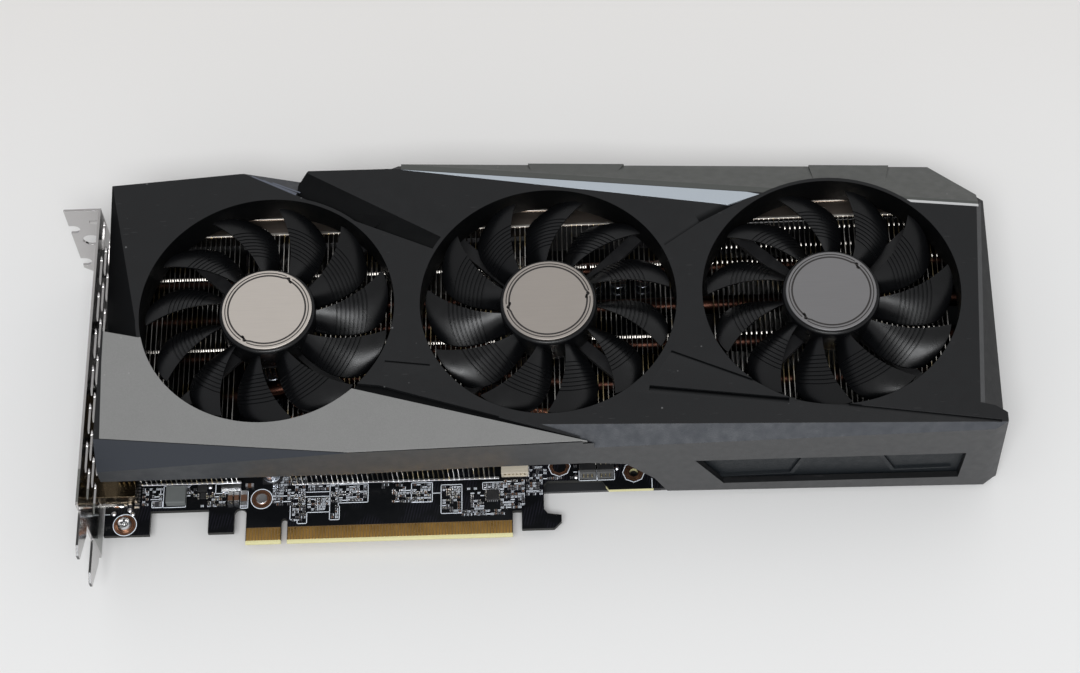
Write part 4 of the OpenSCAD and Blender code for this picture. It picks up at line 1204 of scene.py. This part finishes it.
def screws():
    """Screws and stand-offs of the board, and the screws of the bracket and of the fans."""
    shape = bmesh.new()
    standoffs = RING_AT[:2]
    place_screw_head(shape, (*standoffs[0], BOARD_TOP), 2.2, 2)
    place_lathe(shape, [(0, 0), (1.8, 0), (1.8, 0.3), (1.65, 0.4), (0, 0.4)], (*standoffs[1], BOARD_TOP), 40)
    for at in standoffs:
        place_thread(shape, (*at, 0), 1.5, BOARD_LOW.z - 1.8, BOARD_TOP)
        place_lathe(shape, [(0, -2.4), (2.4, -2.4), (2.6, -2.2), (2.6, 0), (0, 0)], (*at, BOARD_LOW.z), 6)
    for low, high in solids("board_screws"):
        at = ((low + high) / 2).xy
        if min(math.dist(at, other) for other in standoffs) > 3:
            place_screw_head(shape, (*at, BOARD_TOP), 2.3, 1.2)
            place_thread(shape, (*at, 0), 1.2, low.z, BOARD_TOP)
    piece("board_screws_finished", shape, ["steel"], "card", ["board_screws"])

    for node, axis, radius, height, shank in (
        ("bracket_screws", "X", 1.9, 1.4, 1.2), ("fan_screws", "Z", 2.2, 1.2, 1.1)
    ):
        k = "XYZ".index(axis)
        shape = bmesh.new()
        for low, high in solids(node):
            foot = (low + high) / 2
            foot[k] = 0
            neck = foot.copy()
            neck[k] = low[k] + height
            place_screw_head(shape, neck, radius, height, True, axis)
            place_thread(shape, foot, shank, neck[k], high[k], axis)
        piece(node + "_finished", shape, ["dark_steel"], "card", [node])


def spring_screws():
    """Four screws that pull the cold plate down, each with a coil spring under its head."""
    shape = bmesh.new()
    for low, high in solids("spring_screws"):
        at = ((low + high) / 2).xy
        under_head = low.z + 1.4
        profile = [(0, under_head), (1.5, under_head), (1.5, high.z - 2), (3.2, high.z - 2),
                   (3.4, high.z - 1.8), (3.4, high.z - 0.2), (3.2, high.z), (0, high.z)]
        place_screw_head(shape, (*at, under_head), 3, 1.4, True)
        place_lathe(shape, profile, (*at, 0), 40)
    piece("spring_screws_finished", shape, ["steel"], "card", ["spring_screws"])

    shape = bmesh.new()
    wire, reach, turns, steps = 0.2, 2.2, 3, 24
    for low, high in solids("screw_springs"):
        centre = (low + high) / 2
        rise = (high.z - low.z - 2 * wire) / (steps * turns)
        points = []
        for k in range(steps * turns + 1):
            a = math.tau * k / steps
            x, y = centre.x + reach * math.cos(a), centre.y + reach * math.sin(a)
            points.append(Vector((x, y, low.z + wire + rise * k)))
        place_tube(shape, points, wire, 8)
    piece("screw_springs_finished", shape, ["steel"], "card", ["screw_springs"])


# ------------------------------------------------------------------ camera, light and floor

def stage():
    floor = bmesh.new()
    bmesh.ops.create_grid(floor, x_segments=2, y_segments=2, size=3)
    made = add_object("table_top", mesh_of(floor, "table_top"))
    made.data.materials.append(floor_look().material)
    made.location.z = DATUM.z - 0.02 * MM


def area_light(name, place, target, size, power, tint):
    data = bpy.data.lights.new(name, "AREA")
    data.shape = "RECTANGLE"
    data.size, data.size_y = size
    data.energy = power
    data.color = tint
    lamp = add_object(name, data)
    lamp.location = place
    lamp.rotation_euler = (Vector(target) - Vector(place)).to_track_quat("-Z", "Y").to_euler()


def lights():
    """Daylight from a window high up in front, in a room that is darker at the left and overhead."""
    area_light("window", (-0.05, -1.05, 1.65), (0, 0, 0.02), (0.9, 0.55), 21, (0.97, 0.985, 1.0))
    world = bpy.data.worlds.new("room")
    bpy.context.scene.world = world
    world.use_nodes = True
    room = Nodes(world.node_tree)
    place = room.node("TexCoord").outputs["Generated"]
    rightward = room.spread(room.part(place, 0), 0, 1, -0.9, -0.2)
    upward = room.spread(room.part(place, 2), 0, 1, 0.3, 0.95)
    walls = room.mixed(rightward, (0.42, 0.43, 0.46), (0.88, 0.885, 0.9))
    background = room.tree.nodes["Background"]
    room.feed(background.inputs["Color"], room.mixed(upward, walls, (0.5, 0.5, 0.5)))
    room.feed(background.inputs["Strength"], 1)


def camera():
    data = bpy.data.cameras.new("camera")
    data.sensor_width = 36
    data.lens = 88.53
    made = add_object("camera", data)
    made.location = DATUM + Vector((165.88, -352.44, 761.77)) * MM
    made.rotation_euler = [math.radians(a) for a in (29.22, 2.41, -0.79)]
    bpy.context.scene.camera = made
    bpy.context.scene.view_settings.view_transform = "Standard"


camera()
lights()
stage()
covers()
corner_ridges()
inner_solids()
fin_stacks()
board_details()
can_capacitors()
headers()
socket_details()
screws()
spring_screws()
fans()
